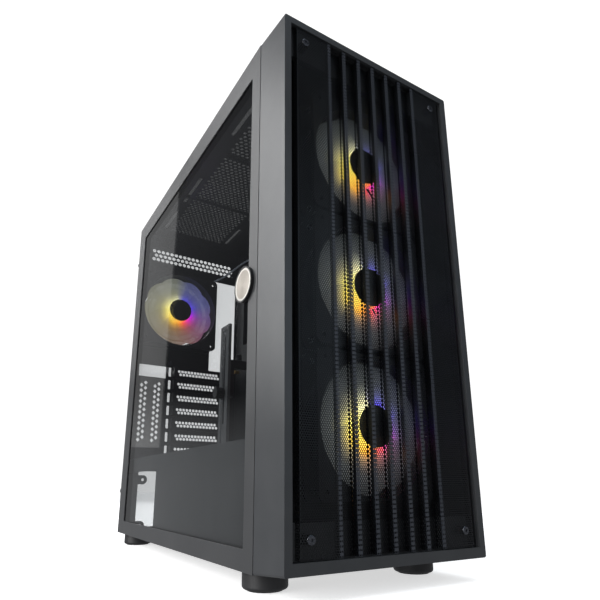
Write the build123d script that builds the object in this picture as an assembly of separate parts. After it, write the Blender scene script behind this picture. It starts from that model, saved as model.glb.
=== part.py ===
from build123d import *
import math
import os

# Mid-tower computer case: steel chassis, moulded front bezel, glass left side panel, four 120 mm fans.
# Millimetres. While it is built, X is 0 on the middle plane, Y is 0 where the bezel meets the side panels
# (the front faces -Y) and Z is 0 under the bottom pan. Everything is moved by SHIFT when it is written,
# so that the finished frame has its origin at the bottom centre of the whole case.

# ---- driving dimensions ----
WIDTH = 202.0
BODY_HEIGHT = 466.0
CHASSIS_DEPTH = 413.0
BEZEL_DEPTH = 41.0
FOOT_HEIGHT = 15.0
SHEET = 0.8
GAP = 0.4

FAN_SIZE = 120.0
FAN_DEPTH = 25.0
FAN_HOLE_PITCH = 105.0
FAN_HOLE_RADIUS = 2.2
FRONT_FAN_Z = (110.0, 233.5, 357.0)
REAR_FAN_X = -36.0
REAR_FAN_Z = 334.0

TRAY_X = 73.0
SHROUD_TOP = 100.0
SHROUD_LEFT = -92.0
SHROUD_WINDOW_Y = 279.0

SLOT_PITCH = 20.32
FIRST_SLOT_Z = 236.8
SLOT_COUNT = 7
SLOT_LEFT = -28.5
SLOT_RIGHT = 43.5

HALF = WIDTH / 2
SKIN_IN = HALF - SHEET
HEM_IN = HALF - 7.0
PAN_HALF = HEM_IN - GAP
LIP_Y = CHASSIS_DEPTH + 0.3
LIP_BACK = LIP_Y + SHEET
THUMB_HEAD = 7.0
THUMB_RADIUS = 4.6
THUMB_FLUTES = 16
THUMB_SHANK = 1.7
THUMB_PLAY = 0.06
THUMB_X = 96.2
THUMB_Z = (56.0, 408.0)
LIP_IN = 92.4
PULL_STAND = 3.0

REAR_END = LIP_BACK + THUMB_HEAD
SHIFT = (PULL_STAND / 2, (BEZEL_DEPTH - REAR_END) / 2, FOOT_HEIGHT)


# ---- small makers shared by every piece ----
def block(x0, x1, y0, y1, z0, z1):
    """A box between two corners."""
    size = Box(abs(x1 - x0), abs(y1 - y0), abs(z1 - z0))
    return Pos((x0 + x1) / 2, (y0 + y1) / 2, (z0 + z1) / 2) * size


def rod(x, y, z, radius, length, toward):
    """A round bar that starts at a point and runs along a direction."""
    start = Plane(origin=(x, y, z), z_dir=toward)
    return extrude(start * Circle(radius), length)


def cut_sheet(outline, openings, plane, thickness):
    """A flat sheet cut on a plane, with its openings, and thickened along the plane's normal."""
    inner = [opening.face().outer_wire() for opening in openings]
    blank = Face(outline.face().outer_wire(), inner)
    return extrude(plane * blank, thickness)


def upright(y):
    """The plane of a cross sheet whose front face is at y: sketch X is X, sketch Y is Z."""
    return Plane(origin=(0, y, 0), x_dir=(1, 0, 0), z_dir=(0, -1, 0)).offset(-SHEET)


def window(x0, x1, z0, z1, corner=1.0):
    """A rounded rectangular opening."""
    shape = RectangleRounded(x1 - x0, z1 - z0, corner)
    return Pos((x0 + x1) / 2, (z0 + z1) / 2) * shape


def hole(x, z, radius):
    """A round opening."""
    return Pos(x, z) * Circle(radius)


def square_holes(x, z, pitch, radius):
    """Four round openings at the corners of a square."""
    half = pitch / 2
    return [hole(x + i * half, z + j * half, radius) for i in (-1, 1) for j in (-1, 1)]


pieces = {}


# ---- bottom pan ----
PSU_VENT = (-48.0, 48.0, 250.0, 395.0)
FOOT_X = 78.0
FOOT_Y = (24.0, 390.0)
FOOT_SCREW = 2.2


def bottom_pan():
    """Floor of the chassis, folded up along both sides, with the power supply's air inlet."""
    depth = CHASSIS_DEPTH - SHEET
    outline = Pos(0, (SHEET + depth) / 2) * Rectangle(2 * PAN_HALF, depth - SHEET)
    x0, x1, y0, y1 = PSU_VENT
    openings = [window(x0, x1, y0, y1, 6)]
    openings += [hole(side * FOOT_X, y, FOOT_SCREW) for side in (-1, 1) for y in FOOT_Y]
    pan = cut_sheet(outline, openings, Plane.XY, SHEET)
    for side in (-1, 1):
        edge = side * PAN_HALF
        pan += block(edge, edge - side * SHEET, SHEET, depth, 0, 12)
    return pan


pieces["bottom_pan"] = bottom_pan()

# ---- rear wall ----
VENT_PITCH = 7.4
VENT_RADIUS = 2.9
VENT_ROWS_Z = (436.6, 429.5, 422.4)
VENT_LEFT = -78.0
VENT_COUNT = 19
IO_LEFT = 24.2
IO_WIDTH = 44.5
IO_BOTTOM = 246.5
IO_HEIGHT = 158.75
PSU_LEFT = -78.0
PSU_RIGHT = 62.0
PSU_BOTTOM = 6.0
PSU_TOP = 83.5
PSU_EDGE_X = -77.4
PSU_EDGE_Z = 1.4
PSU_SCREWS = ((6.0, 6.0, -1, 0), (6.0, 70.0, -1, 0), (144.0, 6.0, 1, 0), (120.0, 80.0, 0, 1))
PSU_SCREW_RADIUS = 2.0
SCREW_STRIP_X = -40.2
UPRIGHT_SLOT_X = (-80.0, -59.4)
UPRIGHT_SLOT_Z = (124.0, 221.0)
UPRIGHT_WINDOW = (-88.5, -46.5, 226.0, 244.5)
FAN_GRILLE_RINGS = (22.0, 31.0, 40.0, 49.0)
GRILLE_SLOT = 6.6


def slot_z(number):
    """Height of the middle of an expansion slot, counted from 0 at the top."""
    return FIRST_SLOT_Z - SLOT_PITCH * number


def ring_slots(x, z):
    """Curved slots of a stamped fan grille: four to each ring, with a strut between them."""
    slots = []
    for radius in FAN_GRILLE_RINGS:
        strut = math.degrees(9.0 / radius)
        for quarter in range(4):
            start = 90 * quarter + 45 + strut / 2
            arc = CenterArc((0, 0), radius, start, 90 - strut)
            slots.append(Pos(x, z) * SlotArc(arc, GRILLE_SLOT))
    return slots


def psu_opening():
    """The power supply's cut-out, with a tab left at each of its screws."""
    opening = window(PSU_LEFT, PSU_RIGHT, PSU_BOTTOM, PSU_TOP, 2)
    for along, up, side, rise in PSU_SCREWS:
        root = Pos(8 * side, 8 * rise) * Rectangle(16 if side else 13, 16 if rise else 13)
        opening -= Pos(PSU_EDGE_X + along, PSU_EDGE_Z + up) * (Circle(6.5) + root)
    return opening


def rear_wall():
    """Rear wall, stamped with the vent band, the fan grille, and the board, card and supply openings."""
    top = BODY_HEIGHT - SHEET
    low = SHEET
    step = GAP
    wide = SKIN_IN - 0.7
    corners = [
        (PAN_HALF, low),
        (PAN_HALF, low + step),
        (wide, low + step),
        (wide, top - step),
        (PAN_HALF, top - step),
        (PAN_HALF, top),
    ]
    mirrored = [(-x, z) for x, z in reversed(corners)]
    outline = Polygon(*corners, *mirrored, align=None)
    openings = ring_slots(REAR_FAN_X, REAR_FAN_Z)
    openings += square_holes(REAR_FAN_X, REAR_FAN_Z, FAN_HOLE_PITCH, FAN_HOLE_RADIUS)
    for row, z in enumerate(VENT_ROWS_Z):
        offset = VENT_PITCH / 2 * (row % 2)
        openings += [hole(VENT_LEFT + offset + VENT_PITCH * i, z, VENT_RADIUS) for i in range(VENT_COUNT)]
    openings.append(window(IO_LEFT, IO_LEFT + IO_WIDTH, IO_BOTTOM, IO_BOTTOM + IO_HEIGHT))
    openings.append(psu_opening())
    for along, up, _, _ in PSU_SCREWS:
        openings.append(hole(PSU_EDGE_X + along, PSU_EDGE_Z + up, PSU_SCREW_RADIUS))
    for number in range(SLOT_COUNT):
        z = slot_z(number)
        openings.append(window(SLOT_LEFT, SLOT_RIGHT, z - 6.6, z + 6.6))
        openings.append(window(SCREW_STRIP_X - 2, SCREW_STRIP_X + 2, z - 7.2, z + 7.2))
    for x in UPRIGHT_SLOT_X:
        openings.append(window(x - 6.6, x + 6.6, *UPRIGHT_SLOT_Z))
    openings.append(window(*UPRIGHT_WINDOW))
    for side in (-1, 1):
        openings += [hole(side * THUMB_X, z, THUMB_SHANK + THUMB_PLAY) for z in THUMB_Z]
    return cut_sheet(outline, openings, upright(CHASSIS_DEPTH - SHEET), SHEET)


pieces["rear_panel"] = rear_wall()

# ---- top panel ----
SLOT_LINES = (
    (-71.0, ((62, 128), (227, 295), (326, 382))),
    (34.0, ((62, 128), (160, 215), (227, 293), (326, 382))),
    (-50.0, ((130, 232),)),
)
TOP_SLOT_WIDTH = 4.4
IO_ROW_Y = 22.0
POWER_X = -74.0
RESET_X = -54.0
POWER_RADIUS = 7.0
RESET_RADIUS = 3.5
AUDIO_X = (-30.0, -14.0)
AUDIO_RADIUS = 3.3
USB_X = (10.0, 32.0, 54.0)
IO_BOARD_X = (-90.0, 71.0)
USB_SIZE = (13.8, 6.4)
BUTTON_PLAY = 0.3


def top_panel():
    """Roof of the chassis, folded down along both sides, with radiator slots and the socket row."""
    back = CHASSIS_DEPTH
    outline = Pos(0, (SHEET + back) / 2) * Rectangle(2 * PAN_HALF, back - SHEET)
    openings = []
    for x, spans in SLOT_LINES:
        openings += [window(x - TOP_SLOT_WIDTH / 2, x + TOP_SLOT_WIDTH / 2, a, b, 2.15) for a, b in spans]
    openings.append(hole(POWER_X, IO_ROW_Y, POWER_RADIUS + BUTTON_PLAY))
    openings.append(hole(RESET_X, IO_ROW_Y, RESET_RADIUS + BUTTON_PLAY))
    openings += [hole(x, IO_ROW_Y, AUDIO_RADIUS) for x in AUDIO_X]
    wide, deep = USB_SIZE
    near, far = IO_ROW_Y - deep / 2, IO_ROW_Y + deep / 2
    openings += [window(x - wide / 2, x + wide / 2, near, far, 0.3) for x in USB_X]
    z = BODY_HEIGHT - SHEET
    panel = cut_sheet(outline, openings, Plane.XY.offset(z), SHEET)
    for side in (-1, 1):
        edge = side * PAN_HALF
        panel += block(edge, edge - side * SHEET, SHEET, CHASSIS_DEPTH - SHEET, z - 11, BODY_HEIGHT)
    return panel


pieces["top_panel"] = top_panel()

# ---- front chassis wall ----
CLIP_X = 86.0
CLIP_Z = (40.0, 233.0, 426.0)
CLIP_RADIUS = 3.0
CLIP_PLAY = 0.08
FAN_BORE = 57.0


def front_wall():
    """Cross wall behind the bezel: it carries the three front fans and the bezel's clips."""
    low = SHEET
    top = BODY_HEIGHT - SHEET
    outline = Pos(0, (low + top) / 2) * Rectangle(2 * (SKIN_IN - 1.2), top - low)
    openings = []
    for z in FRONT_FAN_Z:
        openings.append(hole(0, z, FAN_BORE))
        openings += square_holes(0, z, FAN_HOLE_PITCH, FAN_HOLE_RADIUS)
    openings += [hole(side * CLIP_X, z, CLIP_RADIUS + CLIP_PLAY) for side in (-1, 1) for z in CLIP_Z]
    return cut_sheet(outline, openings, upright(0), SHEET)


pieces["front_chassis_wall"] = front_wall()

# ---- motherboard tray ----
BOARD_Y = (401.2, 246.26, 173.87)
BOARD_Z = (404.8, 247.32, 122.86)
CPU_WINDOW = (255.0, 385.0, 290.0, 392.0)
SIDE_CABLE_HOLES = ((120.0, 150.0, 150.0, 225.0), (120.0, 150.0, 250.0, 325.0), (120.0, 150.0, 345.0, 400.0))
TOP_CABLE_HOLES = ((352.0, 392.0, 434.0, 452.0), (200.0, 250.0, 434.0, 452.0))
LOW_CABLE_HOLES = ((180.0, 240.0, 103.0, 113.0), (290.0, 340.0, 103.0, 113.0))
DRIVE_DOOR = (26.0, 138.5, 4.0, 92.0)
SUPPLY_DOOR = (180.0, 400.0, 14.0, 92.0)
BOARD_SCREW = 1.6


def tray_plane(x):
    """The plane of a fore-and-aft sheet whose left face is at x: sketch X is Y, sketch Y is Z."""
    return Plane(origin=(x, 0, 0), x_dir=(0, 1, 0), z_dir=(1, 0, 0))


def tray():
    """Motherboard tray, a fore-and-aft wall with cable holes, cooler window and two low doorways."""
    y0, y1 = SHEET, CHASSIS_DEPTH - SHEET
    z0, z1 = SHEET, BODY_HEIGHT - SHEET
    outline = Pos((y0 + y1) / 2, (z0 + z1) / 2) * Rectangle(y1 - y0, z1 - z0)
    boxes = (CPU_WINDOW, *SIDE_CABLE_HOLES, *TOP_CABLE_HOLES, *LOW_CABLE_HOLES, DRIVE_DOOR, SUPPLY_DOOR)
    openings = [window(*box, 4) for box in boxes]
    openings += [hole(y, z, BOARD_SCREW) for y in BOARD_Y for z in BOARD_Z]
    return cut_sheet(outline, openings, tray_plane(TRAY_X), SHEET)


pieces["motherboard_tray"] = tray()

STANDOFF_LENGTH = 6.5


def standoffs():
    """Nine brass hexagon standoffs on the tray, each with a threaded hole."""
    group = []
    for y in BOARD_Y:
        for z in BOARD_Z:
            face = Plane(origin=(TRAY_X, y, z), z_dir=(-1, 0, 0))
            post = extrude(face * RegularPolygon(2.9, 6), STANDOFF_LENGTH)
            group.append(post - rod(TRAY_X, y, z, 1.5, STANDOFF_LENGTH, (-1, 0, 0)))
    return group


pieces["motherboard_standoffs"] = standoffs()


def grommets():
    """Rubber linings of the tray's three side cable holes, gripping the sheet's edge."""
    group = []
    for y0, y1, z0, z1 in SIDE_CABLE_HOLES:
        lining = cut_sheet(window(y0, y1, z0, z1, 4), [window(y0 + 3, y1 - 3, z0 + 3, z1 - 3, 2)],
                           tray_plane(TRAY_X - 1.2), SHEET + 2.4)
        flange_outer = window(y0 - 2.5, y1 + 2.5, z0 - 2.5, z1 + 2.5, 6)
        flange_inner = window(y0 + 0.5, y1 - 0.5, z0 + 0.5, z1 - 0.5, 3.5)
        for x in (TRAY_X - 1.2, TRAY_X + SHEET):
            lining += cut_sheet(flange_outer, [flange_inner], tray_plane(x), 1.2)
        group.append(lining)
    return group


pieces["cable_grommets"] = grommets()

# ---- power supply shroud ----
SHROUD_DROP = 19.0


def shroud():
    """Cover over the power supply: a deck and a left wall, whose rear is cut away as a window."""
    y0, y1 = SHEET, CHASSIS_DEPTH - SHEET
    deck = Pos((SHROUD_LEFT + TRAY_X) / 2, (y0 + y1) / 2) * Rectangle(TRAY_X - SHROUD_LEFT, y1 - y0)
    openings = [window(-10, 60, 150, 172, 4), window(-60, 60, 8, 40, 4)]
    body = cut_sheet(deck, openings, Plane.XY.offset(SHROUD_TOP - SHEET), SHEET)
    wall = block(SHROUD_LEFT, SHROUD_LEFT + SHEET, y0, SHROUD_WINDOW_Y, SHEET, SHROUD_TOP)
    band = block(SHROUD_LEFT, SHROUD_LEFT + SHEET, y0, y1, SHROUD_TOP - SHROUD_DROP, SHROUD_TOP)
    return body + wall + band


pieces["psu_shroud"] = shroud()

# ---- expansion slot covers ----
COVER_HOLES = 13
COVER_PITCH = 5.3
COVER_HOLE_RADIUS = 2.2
COVER_ROW = 2.4
COVER_TAB = 9.0


def slot_covers():
    """Seven slot covers inside the rear wall, each with two offset rows of round holes and a bent tab."""
    group = []
    for number in range(SLOT_COUNT):
        z = slot_z(number)
        left, right = SCREW_STRIP_X + 4, SLOT_RIGHT + 4
        outline = Pos((left + right) / 2, z) * Rectangle(right - left, SLOT_PITCH - 1.6)
        openings = []
        for row in (0, 1):
            first = SLOT_LEFT + 3.2 + row * COVER_PITCH / 2
            level = z + COVER_ROW * (1 - 2 * row)
            openings += [hole(first + COVER_PITCH * i, level, COVER_HOLE_RADIUS) for i in range(COVER_HOLES)]
        cover = cut_sheet(outline, openings, upright(CHASSIS_DEPTH - 2 * SHEET), SHEET)
        y1 = CHASSIS_DEPTH - 2 * SHEET
        cover += block(left, left + SHEET, y1 - COVER_TAB, y1, z - 7, z + 7)
        group.append(cover)
    return group


pieces["slot_covers"] = slot_covers()

DIAMONDS = 11
DIAMOND_HALF = (2.7, 3.3)
DIAMOND_OFFSET = 3.0


def upright_covers():
    """Two upright slot covers, each pierced by two staggered columns of diamonds."""
    group = []
    low, high = UPRIGHT_SLOT_Z
    pitch = (high - low - 6) / DIAMONDS
    a, b = DIAMOND_HALF
    diamond = Polygon((a, 0), (0, b), (-a, 0), (0, -b), align=None)
    for x in UPRIGHT_SLOT_X:
        outline = Pos(x, (low + high) / 2) * Rectangle(SLOT_PITCH - 2, high - low + 4)
        openings = []
        for i in range(DIAMONDS):
            z = low + 3 + pitch * (i + 0.25)
            openings.append(Pos(x - DIAMOND_OFFSET, z) * diamond)
            openings.append(Pos(x + DIAMOND_OFFSET, z + pitch / 2) * diamond)
        group.append(cut_sheet(outline, openings, upright(CHASSIS_DEPTH - 2 * SHEET), SHEET))
    return group


pieces["upright_slot_covers"] = upright_covers()


def cover_screws():
    """Screws that hold the slot covers' strip on the rear wall, seen on its inner face."""
    group = []
    y = CHASSIS_DEPTH - SHEET
    for z in (251.0, 104.2):
        head = rod(SCREW_STRIP_X, y, z, 3.4, 1.8, (0, -1, 0))
        group.append(fillet(head.edges().group_by(Axis.Y)[0], 1.0))
    return group


pieces["slot_strip_screws"] = cover_screws()

# ---- front bezel ----
TAPER_SIDE = 1.5
TAPER_TOP = 2.5
TAPER_BOTTOM = 3.5
BEZEL_WALL = 3.0
MESH_OPENING = (-93.0, 93.0, 12.0, 457.0)
RECESS = 8.0
BAR_DEPTH = (29.0, 32.0)
BAR_HEIGHT = 25.0
MESH_SCREW_X = 77.5
MESH_SCREW_Z = (26.0, 444.0)
SCREW_PILOT = 1.4


def bezel_solid(inset, corner):
    """The tapered block that fills the bezel's outline, drawn in by an inset, its long edges rounded."""
    half, front = HALF - inset, -BEZEL_DEPTH
    narrow = half - TAPER_SIDE
    plan = Polygon((half, 0), (-half, 0), (-narrow, front), (narrow, front), align=None)
    low, high = inset, BODY_HEIGHT - inset
    side = Polygon((0, low), (0, high), (front, high - TAPER_TOP), (front, low + TAPER_BOTTOM), align=None)
    solid = extrude(plan, BODY_HEIGHT) & extrude(tray_plane(-HALF) * side, WIDTH)
    long_edges = [edge for edge in solid.edges() if abs((edge % 0.5).Y) > 0.9]
    return fillet(long_edges, corner)


def bezel():
    """Moulded front frame: a tapered open box with a face ring, two cross bars, bosses and clips."""
    front = -BEZEL_DEPTH
    x0, x1, z0, z1 = MESH_OPENING
    hollow = bezel_solid(BEZEL_WALL, 0.8) & block(-HALF, HALF, front + BEZEL_WALL, 1, 0, BODY_HEIGHT)
    shell = bezel_solid(0, 2.0) - hollow
    shell -= block(x0, x1, front - 1, front + 4, z0, z1)
    deep, shallow = -BAR_DEPTH[1], -BAR_DEPTH[0]
    for low, high in ((z1 - BAR_HEIGHT, z1 + 6), (z0 - 8, z0 + BAR_HEIGHT)):
        shell += block(-HALF + 3.5, HALF - 3.5, deep, shallow, low, high)
    for side in (-1, 1):
        shell += block(side * 97.5, side * 91.5, front + BEZEL_WALL - 0.5, shallow, z0 - 8, z1 + 6)
        for z in MESH_SCREW_Z:
            shell += rod(side * MESH_SCREW_X, deep, z, 4.0, 7.0, (0, -1, 0))
            shell -= rod(side * MESH_SCREW_X, shallow, z, SCREW_PILOT, 12.0, (0, -1, 0))
        for z in CLIP_Z:
            shell += block(side * 99.0, side * 81.0, -6, -3, z - 8, z + 8)
            shell += rod(side * CLIP_X, -4, z, CLIP_RADIUS, 9.0, (0, 1, 0))
    return shell


pieces["bezel_frame"] = bezel()

MESH_HALF = 86.6
MESH_LOW = 12.8
MESH_HIGH = 456.2
MESH_FACE = -40.0
MESH_SHEET = 1.0
GROOVES = 6
GROOVE_WIDTH = 14.1
RIB_WIDTH = 3.2
GROOVE_DEPTH = 6.9


def mesh_profile():
    """The corners of the six grooves in the front sheet, left to right, as points of X and Y."""
    points = []
    step = GROOVE_WIDTH + RIB_WIDTH
    left = -(GROOVES * GROOVE_WIDTH + (GROOVES - 1) * RIB_WIDTH) / 2
    floor = MESH_FACE + GROOVE_DEPTH
    for number in range(GROOVES):
        x = left + number * step
        points += [(x, MESH_FACE), (x, floor), (x + GROOVE_WIDTH, floor), (x + GROOVE_WIDTH, MESH_FACE)]
    return points


def front_mesh():
    """Perforated steel front, drawn as the plain folded sheet: flat bands, six grooves, returned edges."""
    grooves = mesh_profile()
    section = Pos(0, MESH_FACE + MESH_SHEET / 2) * Rectangle(2 * MESH_HALF, MESH_SHEET)
    for i in range(0, len(grooves), 4):
        left, right = grooves[i][0], grooves[i + 2][0]
        low, high = MESH_FACE, MESH_FACE + GROOVE_DEPTH + MESH_SHEET
        outer = Rectangle(right - left + 2 * MESH_SHEET, high - low)
        inner = Rectangle(right - left, GROOVE_DEPTH)
        section += Pos((left + right) / 2, (low + high) / 2) * outer
        section -= Pos((left + right) / 2, MESH_FACE + GROOVE_DEPTH / 2) * inner
    for side in (-1, 1):
        edge = Rectangle(MESH_SHEET, 6.0)
        section += Pos(side * (MESH_HALF - MESH_SHEET / 2), MESH_FACE + 3.0) * edge
    sheet = extrude(Plane.XY.offset(MESH_LOW) * section, MESH_HIGH - MESH_LOW)
    for side in (-1, 1):
        for z in MESH_SCREW_Z:
            sheet -= rod(side * MESH_SCREW_X, MESH_FACE - 1, z, 2.0, 4.0, (0, 1, 0))
    return sheet


pieces["front_mesh"] = front_mesh()


def mesh_screws():
    """Four domed black screws at the corners of the front mesh."""
    group = []
    for side in (-1, 1):
        for z in MESH_SCREW_Z:
            x = side * MESH_SCREW_X
            head = rod(x, MESH_FACE, z, 3.6, 0.95, (0, -1, 0))
            head = fillet(head.edges().group_by(Axis.Y)[0], 0.8)
            shank = rod(x, MESH_FACE, z, SCREW_PILOT, 9.0, (0, 1, 0))
            socket = Plane(origin=(x, MESH_FACE - 0.95, z), z_dir=(0, 1, 0)) * RegularPolygon(1.3, 6)
            group.append(head + shank - extrude(socket, 0.8))
    return group


pieces["mesh_screws"] = mesh_screws()

# ---- fans ----
BLADES = 9
HUB_RADIUS = 18.0
TIP_RADIUS = 56.3
BLADE_SECTIONS = ((HUB_RADIUS - 0.6, 15.0, 48.0), (38.0, 22.0, 36.0), (TIP_RADIUS - 1, 29.0, 27.0))
BLADE_THICK = 0.8
SHAFT_RADIUS = 1.5
SHAFT_PLAY = 0.03


def fan_frame():
    """Fan housing about the origin, its open face at Y 0 and its struts at the back."""
    square = RectangleRounded(FAN_SIZE, FAN_SIZE, 7.0)
    bore = Circle(57.8)
    screw = [hole(i * 52.5, j * 52.5, FAN_HOLE_RADIUS) for i in (-1, 1) for j in (-1, 1)]
    front = Plane(origin=(0, 0, 0), x_dir=(1, 0, 0), z_dir=(0, -1, 0))
    body = Part()
    for depth in (4.0, FAN_DEPTH):
        body += cut_sheet(square, [bore, *screw], front.offset(-depth), 4.0)
    body += cut_sheet(Circle(59.4), [bore], front.offset(-FAN_DEPTH), FAN_DEPTH)
    base = FAN_DEPTH - 2.4
    body += rod(0, base, 0, 20.0, 2.4, (0, 1, 0))
    for quarter in range(4):
        strut = block(18, 58.4, base, FAN_DEPTH, -2, 2)
        body += Rot(0, 90 * quarter + 38, 0) * strut
    sleeve = rod(0, 8.0, 0, 4.0, base - 8.0, (0, 1, 0))
    return body + sleeve - rod(0, 6.0, 0, SHAFT_RADIUS + SHAFT_PLAY, 17.0, (0, 1, 0))


def fan_motor():
    """Wound stator and its ring of lamps, on the housing's base inside the hub."""
    coils = rod(0, 10.0, 0, 12.5, 9.0, (0, 1, 0)) - rod(0, 9.0, 0, 4.0, 12.0, (0, 1, 0))
    lamp_disc = rod(0, 20.8, 0, 19.0, 1.8, (0, 1, 0)) - rod(0, 20.0, 0, 4.0, 4.0, (0, 1, 0))
    neck = rod(0, 19.0, 0, 9.0, 1.8, (0, 1, 0)) - rod(0, 18.0, 0, 4.0, 4.0, (0, 1, 0))
    return coils + neck + lamp_disc


def blade():
    """One pitched blade, lofted from a short steep root to a long flat tip."""
    sections = []
    for radius, chord, pitch in BLADE_SECTIONS:
        angle = math.radians(pitch)
        half = chord / 2
        across, along = half * math.cos(angle), half * math.sin(angle)
        thick = BLADE_THICK
        nx, ny = thick * math.sin(angle), thick * math.cos(angle)
        corners = [(-across - nx, -along + ny), (across - nx, along + ny),
                   (across + nx, along - ny), (-across + nx, -along - ny)]
        face = Plane(origin=(radius, 12.0, 0), x_dir=(0, 0, 1), z_dir=(1, 0, 0))
        sections.append(face * Polygon(*corners, align=None).face())
    return loft(sections, ruled=True)


def impeller():
    """Hub cup, shaft and nine blades."""
    cup = rod(0, 2.6, 0, HUB_RADIUS, 17.4, (0, 1, 0)) - rod(0, 4.4, 0, HUB_RADIUS - 1.6, 17.0, (0, 1, 0))
    cup += rod(0, 4.4, 0, SHAFT_RADIUS, 14.0, (0, 1, 0))
    one = blade()
    for number in range(BLADES):
        cup += Rot(0, 360 / BLADES * number, 0) * one
    return cup


def hub_cap():
    """Round black cover on the front of the hub."""
    disc = rod(0, 1.4, 0, HUB_RADIUS - 0.4, 1.2, (0, 1, 0))
    return fillet(disc.edges().group_by(Axis.Y)[0], 0.6)


FANS = {
    "front_fan_low": Pos(0, -FAN_DEPTH, FRONT_FAN_Z[0]),
    "front_fan_middle": Pos(0, -FAN_DEPTH, FRONT_FAN_Z[1]),
    "front_fan_top": Pos(0, -FAN_DEPTH, FRONT_FAN_Z[2]),
    "rear_fan": Pos(REAR_FAN_X, CHASSIS_DEPTH - SHEET - FAN_DEPTH, REAR_FAN_Z),
}
frame_shape, motor_shape, impeller_shape, cap_shape = fan_frame(), fan_motor(), impeller(), hub_cap()
for fan_name, place in FANS.items():
    pieces[f"{fan_name}_frame"] = place * frame_shape
    pieces[f"{fan_name}_motor"] = place * motor_shape
    pieces[f"{fan_name}_impeller"] = place * impeller_shape
    pieces[f"{fan_name}_hub_cap"] = place * cap_shape


def fan_screws():
    """Self-tapping fan screws: their heads bear on the walls and their shanks are in the housings."""
    group = []
    half = FAN_HOLE_PITCH / 2
    places = [(0, SHEET, z, -1) for z in FRONT_FAN_Z]
    places.append((REAR_FAN_X, CHASSIS_DEPTH, REAR_FAN_Z, -1))
    for x, y, z, inward in places:
        for i in (-1, 1):
            for j in (-1, 1):
                at = (x + i * half, y, z + j * half)
                head = rod(*at, 3.3, 2.0, (0, 1, 0))
                group.append(head + rod(*at, FAN_HOLE_RADIUS - 0.05, 9.0, (0, inward, 0)))
    return group


pieces["fan_screws"] = fan_screws()

# ---- glass side panel ----
GLASS_OPENING = (17.0, 385.0, 16.0, 441.0)
GLASS_OVERLAP = 9.0
GLASS_THICK = 3.0
TAPE_THICK = 0.5
PANEL_FRONT = 1.2
PULL_Y = 22.5
PULL_Z = 230.0
PULL_RADIUS = 16.0


def side_panel(side, openings):
    """A side panel: skin, folded hems on top, bottom and front, and a rear lip with screw holes."""
    y0, y1 = PANEL_FRONT, CHASSIS_DEPTH
    height = BODY_HEIGHT
    skin = Pos((y0 + y1) / 2, height / 2) * Rectangle(y1 - y0, height)
    start = SKIN_IN if side > 0 else -HALF
    panel = cut_sheet(skin, openings, tray_plane(start), SHEET)
    inner, outer = side * HEM_IN, side * HALF
    for z in (0, height - SHEET):
        panel += block(inner, outer, y0, y1 - 1.2, z, z + SHEET)
    panel += block(inner, outer, y0, y0 + SHEET, 0, height)
    panel += block(outer, side * SKIN_IN, y1, LIP_BACK, 0, height)
    lip = block(side * LIP_IN, outer, LIP_Y, LIP_BACK, 8, height - 8)
    for z in THUMB_Z:
        lip -= rod(side * THUMB_X, LIP_Y - 1, z, THUMB_SHANK + THUMB_PLAY, 3.0, (0, 1, 0))
    return panel + lip


glass_y0, glass_y1, glass_z0, glass_z1 = GLASS_OPENING
pieces["glass_panel_frame"] = side_panel(-1, [window(*GLASS_OPENING, 1.5)])
pane_outline = window(glass_y0 - GLASS_OVERLAP, glass_y1 + GLASS_OVERLAP,
                      glass_z0 - GLASS_OVERLAP, glass_z1 + GLASS_OVERLAP, 2)
pane_hole = hole(PULL_Y, PULL_Z, 3.2)
pieces["glass_pane"] = cut_sheet(pane_outline, [pane_hole], tray_plane(-SKIN_IN + TAPE_THICK), GLASS_THICK)
tape_inner = window(glass_y0 + 0.2, glass_y1 - 0.2, glass_z0 + 0.2, glass_z1 - 0.2, 1.5)
pieces["glass_tape"] = cut_sheet(pane_outline, [tape_inner], tray_plane(-SKIN_IN), TAPE_THICK)


def pull_knob():
    """Round pull on the glass: a shallow cup outside, a stem through the pane and a nut behind it."""
    glass_out = -SKIN_IN + TAPE_THICK
    stand = HALF + PULL_STAND
    cup = rod(-stand, PULL_Y, PULL_Z, PULL_RADIUS, PULL_STAND, (1, 0, 0))
    cup -= rod(-stand, PULL_Y, PULL_Z, PULL_RADIUS - 1.4, 0.8, (1, 0, 0))
    stem = rod(-HALF, PULL_Y, PULL_Z, 3.1, HALF + glass_out + GLASS_THICK, (1, 0, 0))
    nut = rod(glass_out + GLASS_THICK, PULL_Y, PULL_Z, 7.0, 2.2, (1, 0, 0))
    return cup + stem + nut


def pull_disc():
    """Pale metal disc set in the face of the pull."""
    stand = HALF + PULL_STAND
    return rod(-stand + 0.3, PULL_Y, PULL_Z, PULL_RADIUS - 1.5, 0.5, (1, 0, 0))


pieces["panel_pull"] = pull_knob()
pieces["panel_pull_disc"] = pull_disc()
pieces["right_side_panel"] = side_panel(1, [])


def thumbscrew(side, z):
    """Thumbscrew with a fluted head, through the panel's lip into the rear wall."""
    x = side * THUMB_X
    head = rod(x, LIP_BACK, z, THUMB_RADIUS, THUMB_HEAD, (0, 1, 0))
    head = chamfer(head.edges().group_by(Axis.Y)[-1], 0.8)
    reach = THUMB_RADIUS + 0.3
    for flute in range(THUMB_FLUTES):
        angle = 2 * math.pi * flute / THUMB_FLUTES
        across, up = reach * math.cos(angle), reach * math.sin(angle)
        head -= rod(x + across, LIP_BACK + 0.8, z + up, 0.6, THUMB_HEAD, (0, 1, 0))
    head -= block(x - 3.4, x + 3.4, REAR_END - 1.2, REAR_END + 1, z - 0.5, z + 0.5)
    return head + rod(x, LIP_BACK - 7.5, z, THUMB_SHANK, 7.6, (0, 1, 0))


for side_name, side in (("left", -1), ("right", 1)):
    for level_name, z in zip(("low", "top"), THUMB_Z):
        pieces[f"thumbscrew_{side_name}_{level_name}"] = thumbscrew(side, z)

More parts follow.
